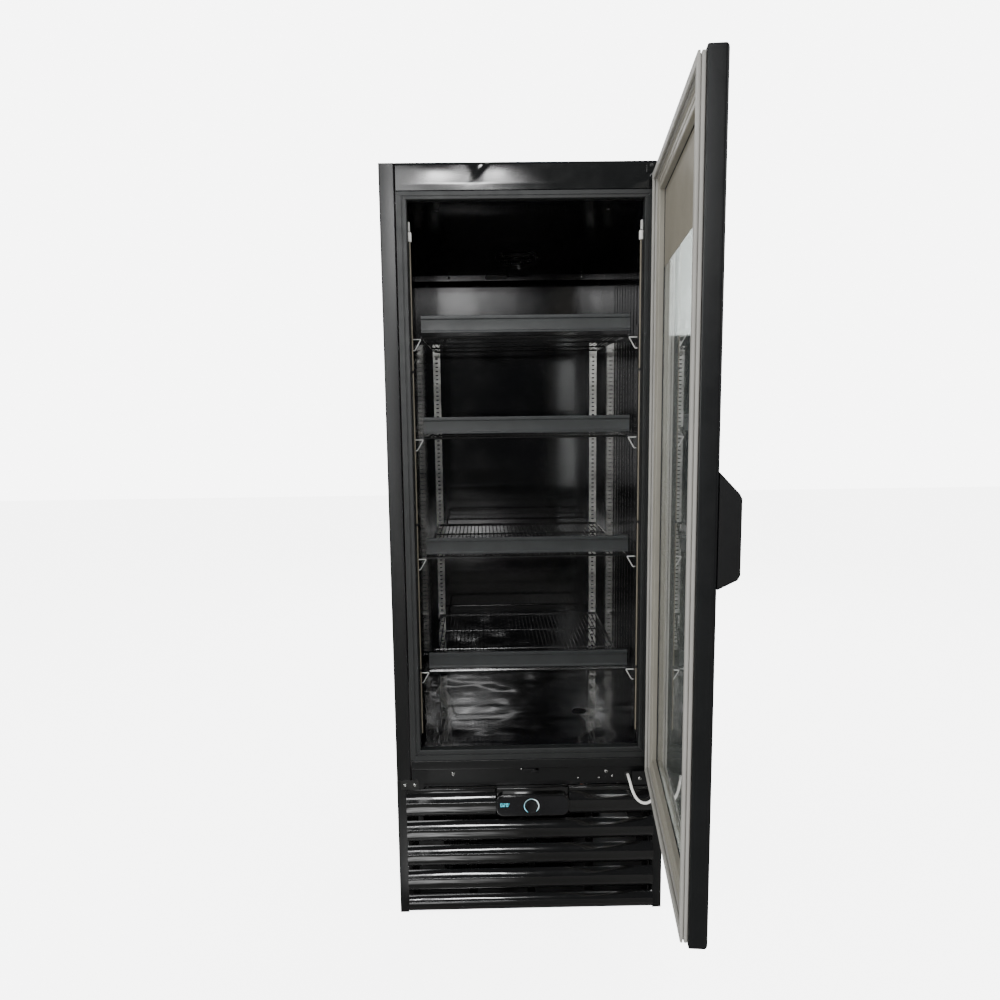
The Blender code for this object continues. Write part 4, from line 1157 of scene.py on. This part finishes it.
def make_base_sides():
    """The base's side sheets, with their ventilation slots, and the tray they stand on."""
    for word in ("left", "right"):
        dress("base_side_" + word, "shell", 0.0004, 2)
    dress("base_tray", "matte", 0.0005, 2)


def louvre_point(bottom, top, t, bulge, face, depth):
    """A point of a blade's section: t runs from its bottom edge to its top edge round the arc."""
    chord = top - bottom
    radius = (chord**2 / 4 + bulge**2) / (2 * bulge)
    reach = (t - 0.5) * chord
    y = face + radius - sqrt(max(0.0, (radius - depth) ** 2 - (reach * (radius - depth) / radius) ** 2))
    return y, (bottom + top) / 2 + reach * (radius - depth) / radius


def make_louvres():
    """Five thin glossy blades; each waves slightly along its length, so its highlights break up."""
    low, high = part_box("louvre_grille")
    panel_low, panel_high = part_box("control_housing")
    pitch = 0.0655
    gap = 0.0106
    gap_top = 0.2495
    face = low.y
    bulge = 0.014
    wall = 0.0022
    tops = [high.z - 0.0085] + [gap_top - i * pitch - gap / 2 for i in range(4)]
    bottoms = [gap_top - i * pitch + gap / 2 for i in range(4)] + [low.z]
    end = high.x - 0.0005
    builder = bmesh.new()
    for number, (bottom, top) in enumerate(zip(bottoms, tops)):

        def place(x, t, depth, bottom=bottom, top=top, number=number):
            y, z = louvre_point(bottom, top, t, bulge, face, depth)
            wobble = noise.noise(Vector((x * 9.0, z * 26.0, number * 3.1)))
            fine = noise.noise(Vector((x * 34.0, z * 60.0, number * 7.7)))
            fade = min(1.0, (end - abs(x)) / 0.03, t * 6, (1 - t) * 6)
            return Vector((x, y + (0.00055 * wobble + 0.00012 * fine + 0.0005) * fade, z))

        spans = [(-end, end)]
        if number == 0:
            spans = [(-end, panel_low.x - 0.0006), (panel_high.x + 0.0006, end)]
        for start, stop in spans:
            columns = max(12, int((stop - start) / 0.0045))
            add_sheet_grid(builder, spread(start, stop, columns), spread(0.0, 1.0, 26), place, wall)
    piece("louvre_blades", builder, F["louvre"], replaced=["louvre_grille"], smooth=60)
    frame_parts = bmesh.new()
    for i in range(-2, 3):
        x = 0.002 + i * 0.1455
        add_box(
            frame_parts,
            (x - 0.010, FRONT + 0.0135, low.z + 0.002),
            (x + 0.010, FRONT + 0.0160, high.z - 0.003),
            0.0006,
        )
        for bottom in bottoms[:4]:
            rib = [(x - 0.012, FRONT + 0.0100, bottom - 0.0026), (x + 0.012, FRONT + 0.0100, bottom - 0.0026)]
            add_tube(frame_parts, rib, 0.0018, 12)
    for side in (-1, 1):
        near, far = sorted((side * high.x, side * (high.x - 0.0016)))
        add_box(
            frame_parts, (near, FRONT + 0.0013, low.z + 0.0012), (far, FRONT + 0.020, high.z - 0.001), 0.0004
        )
    cap_low = panel_low.x - 0.0006
    cap_high = panel_high.x + 0.0006
    for start, stop in ((-high.x, cap_low), (cap_high, high.x)):
        add_box(frame_parts, (start, FRONT - 0.001, high.z - 0.010), (stop, FRONT + 0.0108, high.z), 0.0014)
    piece("louvre_frame", frame_parts, F["louvre"])


def digit_bars(pattern, x, z, width, height, stroke):
    """The lit bars of one seven-segment figure as flat boxes in XZ."""
    middle = z + height / 2
    top = z + height
    right = x + width
    bars = {
        "a": (x + stroke, top - stroke, right - stroke, top),
        "b": (right - stroke, middle + stroke / 4, right, top - stroke / 2),
        "c": (right - stroke, z + stroke / 2, right, middle - stroke / 4),
        "d": (x + stroke, z, right - stroke, z + stroke),
        "e": (x, z + stroke / 2, x + stroke, middle - stroke / 4),
        "f": (x, middle + stroke / 4, x + stroke, top - stroke / 2),
        "g": (x + stroke, middle - stroke / 2, right - stroke, middle + stroke / 2),
    }
    return [bars[key] for key in pattern]


def make_controls():
    low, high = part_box("control_housing")
    lens_low, lens_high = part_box("control_lens")
    panel_top = lens_high.z + 0.004
    outline = rounded_rectangle((low.x, low.z), (high.x, panel_top), 0.020, 10)
    housing = bmesh.new()
    add_prism(housing, outline, 1, low.y, high.y - 0.002)
    add_box(
        housing, (low.x + 0.002, FRONT - 0.004, panel_top - 0.010), (high.x - 0.002, high.y, high.z), 0.0016
    )
    made = piece("panel_housing", housing, F["louvre"], replaced=["control_housing"])
    rim = made.modifiers.new("Rounded rim", "BEVEL")
    rim.width = 0.0022
    rim.segments = 4
    rim.limit_method = "ANGLE"
    rim.angle_limit = radians(50)
    dial_low, dial_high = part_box("dial_knob")
    dial_x = (dial_low.x + dial_high.x) / 2
    dial_z = (dial_low.z + dial_high.z) / 2
    window = 0.0172
    lens = bmesh.new()
    outline = rounded_rectangle((lens_low.x, lens_low.z), (lens_high.x, lens_high.z), 0.017, 10)
    add_plate_with_hole(lens, outline, circle(dial_x, dial_z, window, 48), lens_low.y, lens_high.y)
    piece("panel_lens", lens, F["lens"], replaced=["control_lens"])
    ring = bmesh.new()
    face = lens_low.y
    profile = [(0.0172, face + 0.0012), (0.0172, face + 0.0002), (0.0169, face), (0.0167, face + 0.0012)]
    add_lathe(ring, profile + [profile[0]], 1, (dial_x, 0.0, dial_z), 64)
    piece("dial_light_seat", ring, F["lens"])
    digits = bmesh.new()
    figure_height = 0.0086
    figure_width = 0.0046
    z = dial_z - 0.0010
    for i, pattern in enumerate(("abcdef", "abged", "abcdef")):
        x = -0.0742 + i * 0.0070
        for x0, z0, x1, z1 in digit_bars(pattern, x, z, figure_width, figure_height, 0.0009):
            add_box(digits, (x0, face - 0.00012, z0), (x1, face + 0.0002, z1))
    for x, half in ((-0.0684, 0.0005), (-0.0530, 0.0006)):
        z0 = z if x < -0.06 else z + figure_height - 0.002
        add_box(digits, (x, face - 0.00012, z0), (x + 2 * half, face + 0.0002, z0 + 2 * half))
    piece("display_digits", digits, F["digits"], smooth=None)
    make_dial(dial_x, dial_z, dial_low, dial_high)


def add_plate_with_hole(builder, outline, hole, near, far):
    """A flat plate in XZ with one round hole, closed on every side."""
    flat = bmesh.new()
    loops = []
    for points in (outline, hole):
        verts = [flat.verts.new((x, near, z)) for x, z in points]
        edges = [flat.edges.new((a, b)) for a, b in zip(verts, verts[1:] + verts[:1])]
        loops.extend(edges)
    bmesh.ops.triangle_fill(flat, edges=loops, use_beauty=True)
    faces = list(flat.faces)
    raised = bmesh.ops.extrude_face_region(flat, geom=faces)
    moved = [item for item in raised["geom"] if isinstance(item, bmesh.types.BMVert)]
    bmesh.ops.translate(flat, verts=moved, vec=(0, far - near, 0))
    mesh = bpy.data.meshes.new("plate")
    flat.to_mesh(mesh)
    flat.free()
    builder.from_mesh(mesh)
    bpy.data.meshes.remove(mesh)


def make_dial(x, z, low, high):
    """The knob: a dished face inside a light ring, with a small raised pointer."""
    front = low.y
    knob = bmesh.new()
    section = [(0.0, 0.0016), (0.0118, 0.0011), (0.0134, 0.0006), (0.0143, 0.0001), (0.0151, 0.0004)]
    section += [(0.0155, 0.0012), (0.0156, 0.0084), (0.0, 0.0084)]
    profile = [(radius, front + y) for radius, y in section]
    add_lathe(knob, profile, 1, (x, 0.0, z), 48)
    add_box(knob, (x - 0.0006, front + 0.0004, z + 0.0040), (x + 0.0006, front + 0.0022, z + 0.0115), 0.0002)
    shaft = [(0.003, high.y), (0.003, front + 0.0080)]
    add_lathe(knob, [(0.0, high.y)] + shaft + [(0.0, front + 0.0080)], 1, (x, 0.0, z), 16)
    piece("dial_cap", knob, F["plastic"], "dial", ["dial_knob"])
    ring = bmesh.new()
    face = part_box("control_lens")[0].y
    section = [
        (0.0173, face + 0.0008), (0.0173, face - 0.0003), (0.0184, face - 0.0003), (0.0184, face + 0.0008)
    ]
    add_lathe(ring, section + [section[0]], 1, (x, 0.0, z), 64)
    piece("dial_light_ring", ring, ring_glow_finish((x, 0.0, z)))


make_base_sides()
make_louvres()
make_controls()


# ---------------------------------------------------------------- machine compartment

def add_coil(fins, tubes, low, high, rows, tube_radius, pitch, tube_rows):
    """Thin fins across X with tube runs along X through them, joined by return bends at both ends."""
    count = int((high.x - low.x - 0.024) / pitch)
    start = low.x + 0.012
    for i in range(count + 1):
        x = start + i * pitch
        add_box(fins, (x - 0.00012, low.y + 0.001, low.z), (x + 0.00012, high.y - 0.001, high.z))
    for x in (start - 0.002, start + count * pitch + 0.002):
        add_box(fins, (x - 0.0007, low.y, low.z), (x + 0.0007, high.y, high.z))
    heights = spread(low.z + 0.016, high.z - 0.016, rows)
    depths = spread(low.y + 0.011, high.y - 0.011, tube_rows)
    left = low.x + 0.0075
    right = high.x - 0.0075
    for y in depths:
        for z in heights:
            add_tube(tubes, [(left, y, z), (right, y, z)], tube_radius, 8)
        for i in range(rows - 1):
            x = right if i % 2 == 0 else left
            direction = 1 if i % 2 == 0 else -1
            a, b = heights[i], heights[i + 1]
            reach = 0.0075 - tube_radius
            path = []
            for k in range(9):
                angle = pi * k / 8
                z = (a + b) / 2 - (b - a) / 2 * cos(angle)
                path.append((x + direction * reach * sin(angle), y, z))
            add_tube(tubes, path, tube_radius, 8)


def add_fan_blades(builder, centre, axis, hub, tip, blade_count, half_width, thickness):
    """Swept, cambered blades from the hub to the tip."""
    others = [i for i in range(3) if i != axis]
    for number in range(blade_count):
        base = 2 * pi * number / blade_count

        def place(chord_share, radius_share, depth, base=base):
            radius = hub * 0.92 + (tip - hub * 0.92) * radius_share
            sweep = (0.30 + 0.32 * radius_share) * 2 * pi / blade_count
            angle = base + (chord_share - 0.5) * sweep * 1.9 * (0.75 + 0.25 * radius_share)
            lift = (chord_share - 0.5) * 2 * half_width * 0.72 * (1 - 0.25 * radius_share)
            camber = -half_width * 0.22 * (1 - (2 * chord_share - 1) ** 2)
            point = list(centre)
            point[others[0]] += radius * cos(angle)
            point[others[1]] += radius * sin(angle)
            point[axis] += lift + camber + depth - thickness / 2
            return Vector(point)

        add_sheet_grid(builder, spread(0.0, 1.0, 11), spread(0.0, 1.0, 9), place, thickness)


def make_fan(node, body, axis, hub, tip, half_width, shaft_end):
    centre = Vector(JOINTS[body + "_spin"]["pos_m"])
    builder = bmesh.new()
    nose = [(0.0, -0.98), (hub * 0.7, -0.95), (hub - 0.001, -0.80), (hub, -0.60), (hub, 0.92), (0.003, 0.92)]
    profile = [(radius, half_width * share) for radius, share in nose] + [
        (0.003, shaft_end), (0.0, shaft_end)
    ]
    add_lathe(builder, profile, axis, centre, 32)
    add_fan_blades(builder, centre, axis, hub, tip, 5, half_width, 0.0015)
    piece(body + "_rotor", builder, F["plastic"], body, [node])


def make_condenser():
    low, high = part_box("condenser_coil")
    fins = bmesh.new()
    tubes = bmesh.new()
    add_coil(fins, tubes, low, high, 9, 0.004, 0.0042, 2)
    # The coil's black finish is partly painted shade for the machine compartment.
    piece("condenser_fins", fins, F["coil"], replaced=["condenser_coil"], smooth=None)
    piece("condenser_tubes", tubes, F["coil"])
    low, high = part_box("condenser_fan_shroud")
    x, _, z = JOINTS["condenser_fan_spin"]["pos_m"]
    bore = 0.088
    plate = bmesh.new()
    outline = rounded_rectangle((low.x, low.z), (high.x, high.z), 0.012, 5)
    add_plate_with_hole(plate, outline, circle(x, z, bore, 64), low.y, low.y + 0.003)
    lip = [
        (bore, 0.0),
        (bore, high.y - low.y - 0.002),
        (bore + 0.002, high.y - low.y),
        (bore + 0.004, high.y - low.y - 0.001),
    ]
    lip += [(bore + 0.004, 0.006), (bore + 0.008, 0.0030), (bore, 0.0)]
    add_lathe(plate, lip, 1, (x, low.y, z), 64)
    piece("fan_shroud", plate, F["plastic"], replaced=["condenser_fan_shroud"])
    guard = bmesh.new()
    y = high.y + 0.0016
    for radius in (0.030, 0.046, 0.062, 0.078, 0.0895):
        add_tube(guard, [(px, y, pz) for px, pz in circle(x, z, radius, 48)], 0.0011, 6, closed=True)
    for i in range(6):
        angle = 2 * pi * i / 6 + 0.3
        near = (x + 0.030 * cos(angle), y + 0.0016, z + 0.030 * sin(angle))
        far = (x + 0.0905 * cos(angle), y + 0.0016, z + 0.0905 * sin(angle))
        add_tube(guard, [near, far], 0.0014, 6)
    piece("fan_guard", guard, F["wire"])
    dress("condenser_fan_motor", "compressor", 0.0012)
    make_fan("condenser_fan_blade", "condenser_fan", 1, 0.020, 0.084, 0.0110, 0.032)


def make_compressor():
    dress("compressor", "compressor", 0.0020)
    NODES["compressor"].data.shade_smooth()
    low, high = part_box("compressor")
    x = (low.x + high.x) / 2
    y = high.y - 0.088
    pipes = bmesh.new()
    suction = bent(
        [(x + 0.060, y - 0.050, 0.145), (x + 0.074, y - 0.075, 0.150), (x + 0.074, y - 0.075, 0.235)], 0.012
    )
    process = bent(
        [(x - 0.060, y + 0.050, 0.130), (x - 0.078, y + 0.066, 0.134), (x - 0.078, y + 0.066, 0.190)], 0.010
    )
    add_tube(pipes, suction, 0.0048, 10)
    add_tube(pipes, process, 0.0034, 10)
    piece("compressor_pipes", pipes, F["copper"])
    cover = bmesh.new()
    add_box(cover, (x - 0.028, y - 0.1065, 0.117), (x + 0.028, y - 0.1045, 0.168), 0.0008)
    piece("terminal_cover", cover, F["plastic"])
    bolts = []
    for side_x in (-0.098, 0.098):
        for side_y in (-0.054, 0.054):
            bolts.append((x + side_x, y + side_y, 0.0232))
    make_screws("compressor_bolts", bolts, 0.0070, 0.0045, F["screw"], axis=2, facing=1)
    feet = bmesh.new()
    for bolt_x, bolt_y, _ in bolts:
        profile = [
            (0.0112, 0.0026),
            (0.0135, 0.0045),
            (0.0120, 0.0090),
            (0.0138, 0.0130),
            (0.0115, 0.0178),
            (0.0112, 0.0026),
        ]
        add_lathe(feet, profile, 2, (bolt_x, bolt_y, 0.0), 20)
    piece("compressor_grommets", feet, F["rubber"])
    plate = bmesh.new()
    radius = 0.0846
    angles = [radians(64 + 5.5 * i) for i in range(9)]
    arc, inner = ([(x + r * cos(a), y + r * sin(a)) for a in angles] for r in (radius, radius - 0.0016))
    add_prism(plate, arc + inner[::-1], 2, 0.110, 0.142)
    piece("compressor_plate", plate, F["label"])


def make_evaporator():
    low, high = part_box("evaporator_coil")
    fins = bmesh.new()
    tubes = bmesh.new()
    add_coil(fins, tubes, low, high, 4, 0.004, 0.0050, 4)
    piece("evaporator_fins", fins, F["fin"], replaced=["evaporator_coil"], smooth=None)
    piece("evaporator_tubes", tubes, F["coil"])
    dress("evaporator_fan_motor", "compressor", 0.0008)
    make_fan("evaporator_fan_blade", "evaporator_fan", 2, 0.018, 0.055, 0.0080, 0.012)
    x, y = JOINTS["evaporator_fan_spin"]["pos_m"][:2]
    guard = bmesh.new()

    def on_cover(radius, angle, below):
        """A point of the guard, under the sloping cover."""
        deep = y + radius * sin(angle)
        return (x + radius * cos(angle), deep, cover_underside(deep) - below)

    for radius in (0.016, 0.030, 0.045, 0.0585):
        ring = [on_cover(radius, 2 * pi * i / 48, 0.0096) for i in range(48)]
        add_tube(guard, ring, 0.0010, 6, closed=True)
    for i in range(4):
        angle = pi * i / 2 + pi / 4
        ends = [
            on_cover(0.016, angle, 0.0112), on_cover(0.058, angle, 0.0112), on_cover(0.064, angle, 0.0008)
        ]
        add_tube(guard, ends, 0.0012, 6)
    piece("evaporator_fan_guard", guard, F["wire"])


def make_pan_and_pipes():
    dress("condensate_pan", "plastic", 0.0006)
    for name, key in (("refrigerant_line", "copper"), ("mains_gland", "plastic"), ("lead_grommet", "rubber")):
        dress(name, key)
        NODES[name].data.shade_smooth()
        NODES[name].data.set_sharp_from_angle(angle=radians(45))


make_condenser()
make_compressor()
make_evaporator()
make_pan_and_pipes()


# ---------------------------------------------------------------- hinge brackets

def make_brackets():
    for word, key in (("lower", "shell"), ("upper", "header"), ("spare", "chrome")):
        dress("hinge_bracket_" + word, key, 0.0007)
    plate_face = FRONT - GAP - 0.003
    low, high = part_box("hinge_bracket_spare")
    z = (low.z + high.z) / 2
    lower = [(x, plate_face, 0.3465) for x in (0.271, 0.305)]
    upper = [(x, plate_face, 1.7890) for x in (0.280, 0.309)]
    spare = [(x, low.y, z) for x in (low.x + 0.010, high.x - 0.010)]
    for name, bolts, radius, rise, key, slot in (
        ("lower_hinge_bolts", lower, 0.0050, 0.0032, "screw", "zinc_steel"),
        ("upper_hinge_bolts", upper, 0.0045, 0.0028, "compressor", "shell_black"),
        ("spare_bracket_bolts", spare, 0.0040, 0.0020, "screw", "zinc_steel"),
    ):
        make_screws(name, bolts, radius, rise, F[key], cross=F["rubber"])


make_brackets()


# ---------------------------------------------------------------- door

def make_door_frame():
    """Mitred extrusions with a generous outer radius; each bar is its own piece, as the CAD bars are."""
    low, _ = door_box("door_stile_free")
    _, high = door_box("door_stile_hinge")
    _, top = door_box("door_rail_top")
    bottom, _ = door_box("door_rail_bottom")
    outer = (low.x, bottom.z, high.x, top.z)
    border = 0.046
    inner = (outer[0] + border, outer[1] + border, outer[2] - border, outer[3] - border)
    face = low.y
    back = high.y
    radius = 0.0065
    profile = [(0.0, back - 0.0012), (0.0012 / border, back)]
    pocket = (0.036 - 0.0006) / border
    lip_back = face + 0.0032
    profile += [(pocket, back), (pocket, lip_back), (1.0, lip_back), (1.0, face + 0.0008), (0.985, face)]
    for i in range(9):
        angle = 0.5 * pi * i / 8
        profile.append(((radius - radius * sin(angle)) / border, face + radius - radius * cos(angle)))
    names = {
        "left": "door_stile_free",
        "right": "door_stile_hinge",
        "bottom": "door_rail_bottom",
        "top": "door_rail_top",
    }
    for side, node in names.items():
        builder = bmesh.new()
        add_mitred_bar(builder, outer, inner, profile, FRAME_SIDES[side], 0.00025)
        door_piece(node.replace("door_", "frame_"), builder, F["door"], [node], smooth=35)


def make_door_gasket():
    """The magnetic gasket: a foot in the frame, a folded bellows and the magnet chamber in front of it."""
    low, high = door_box("door_gasket")
    outer = (low.x, low.z, high.x, high.z)
    width = 0.016
    inner = (low.x + width, low.z + width, high.x - width, high.z - width)
    foot = low.y
    face = high.y
    half = [(0.10, foot), (0.02, foot + 0.0012), (0.00, foot + 0.0040), (0.03, foot + 0.0062)]
    half += [(0.22, foot + 0.0070), (0.22, foot + 0.0078), (0.03, foot + 0.0084), (0.00, foot + 0.0100)]
    half += [(0.02, face - 0.0006), (0.08, face)]
    profile = half + [(1.0 - share, y) for share, y in reversed(half)]
    builder = bmesh.new()
    add_ring(builder, outer, inner, profile)
    door_piece("gasket_bellows", builder, F["gasket"], ["door_gasket"], smooth=30)


def make_door_liner():
    """The extruded inner trim: a flat land beside the gasket, a step and a slope down to the glass."""
    low, high = door_box("door_liner")
    outer = (low.x, low.z, high.x, high.z)
    _, pane_high = door_box("glass_inner")
    edge = 0.046 + 0.002
    frame_low, _ = door_box("door_stile_free")
    _, frame_high = door_box("door_stile_hinge")
    bottom, _ = door_box("door_rail_bottom")
    _, top = door_box("door_rail_top")
    inner = (frame_low.x + edge, bottom.z + edge, frame_high.x - edge, top.z - edge)
    back = frame_high.y
    foot = back + GAP
    glass_face = pane_high.y + GAP
    leg = 0.53
    land = [(0.0, 0.0030), (0.03, 0.0035), (0.24, 0.0035), (0.27, 0.0030), (0.30, 0.0014), (0.34, 0.0014)]
    slope = [(0.37, 0.0028), (0.41, 0.0032), (0.64, 0.0024), (0.67, 0.0010), (0.71, 0.0010), (0.74, 0.0018)]
    edge_roll = [(0.93, 0.0006), (0.97, -0.0002), (1.0, -0.0012)]
    profile = [(0.0, foot)] + [(share, back + y) for share, y in land + slope + edge_roll]
    profile += [(1.0, glass_face + 0.0014), (leg, glass_face + 0.0014), (leg, foot)]
    builder = bmesh.new()
    add_ring(builder, outer, inner, profile)
    door_piece("liner_extrusion", builder, F["pvc"], ["door_liner"], smooth=25)
    strip_outer = tuple(inner[i] + (-0.0050 if i < 2 else 0.0050) for i in range(4))
    strip_inner = tuple(inner[i] + (0.0022 if i < 2 else -0.0022) for i in range(4))
    section = [
        (0.0, glass_face - 0.0003),
        (1.0, glass_face - 0.0003),
        (0.8, glass_face + 0.0012),
        (0.0, glass_face + 0.0012),
    ]
    builder = bmesh.new()
    add_ring(builder, strip_outer, strip_inner, section)
    door_piece("glazing_strip", builder, F["glazing"], smooth=30)


def make_glazing():
    for node in ("glass_outer", "glass_inner"):
        dress(node, "glass", 0.0004, 2)
    dress("glass_spacer", "aluminium")
    low, high = door_box("glass_inner")
    rim = 0.0130
    band_bottom = 1.560
    builder = bmesh.new()
    add_box(
        builder,
        (low.x + rim, high.y + 0.00005, band_bottom),
        (high.x - rim, high.y + 0.00025, high.z - rim),
    )
    door_piece("header_band_film", builder, F["film"], smooth=None)


make_door_frame()
make_door_gasket()
make_door_liner()
make_glazing()
dress("door_handle", "plastic", 0.0026, 4)

make_floor()
make_light()
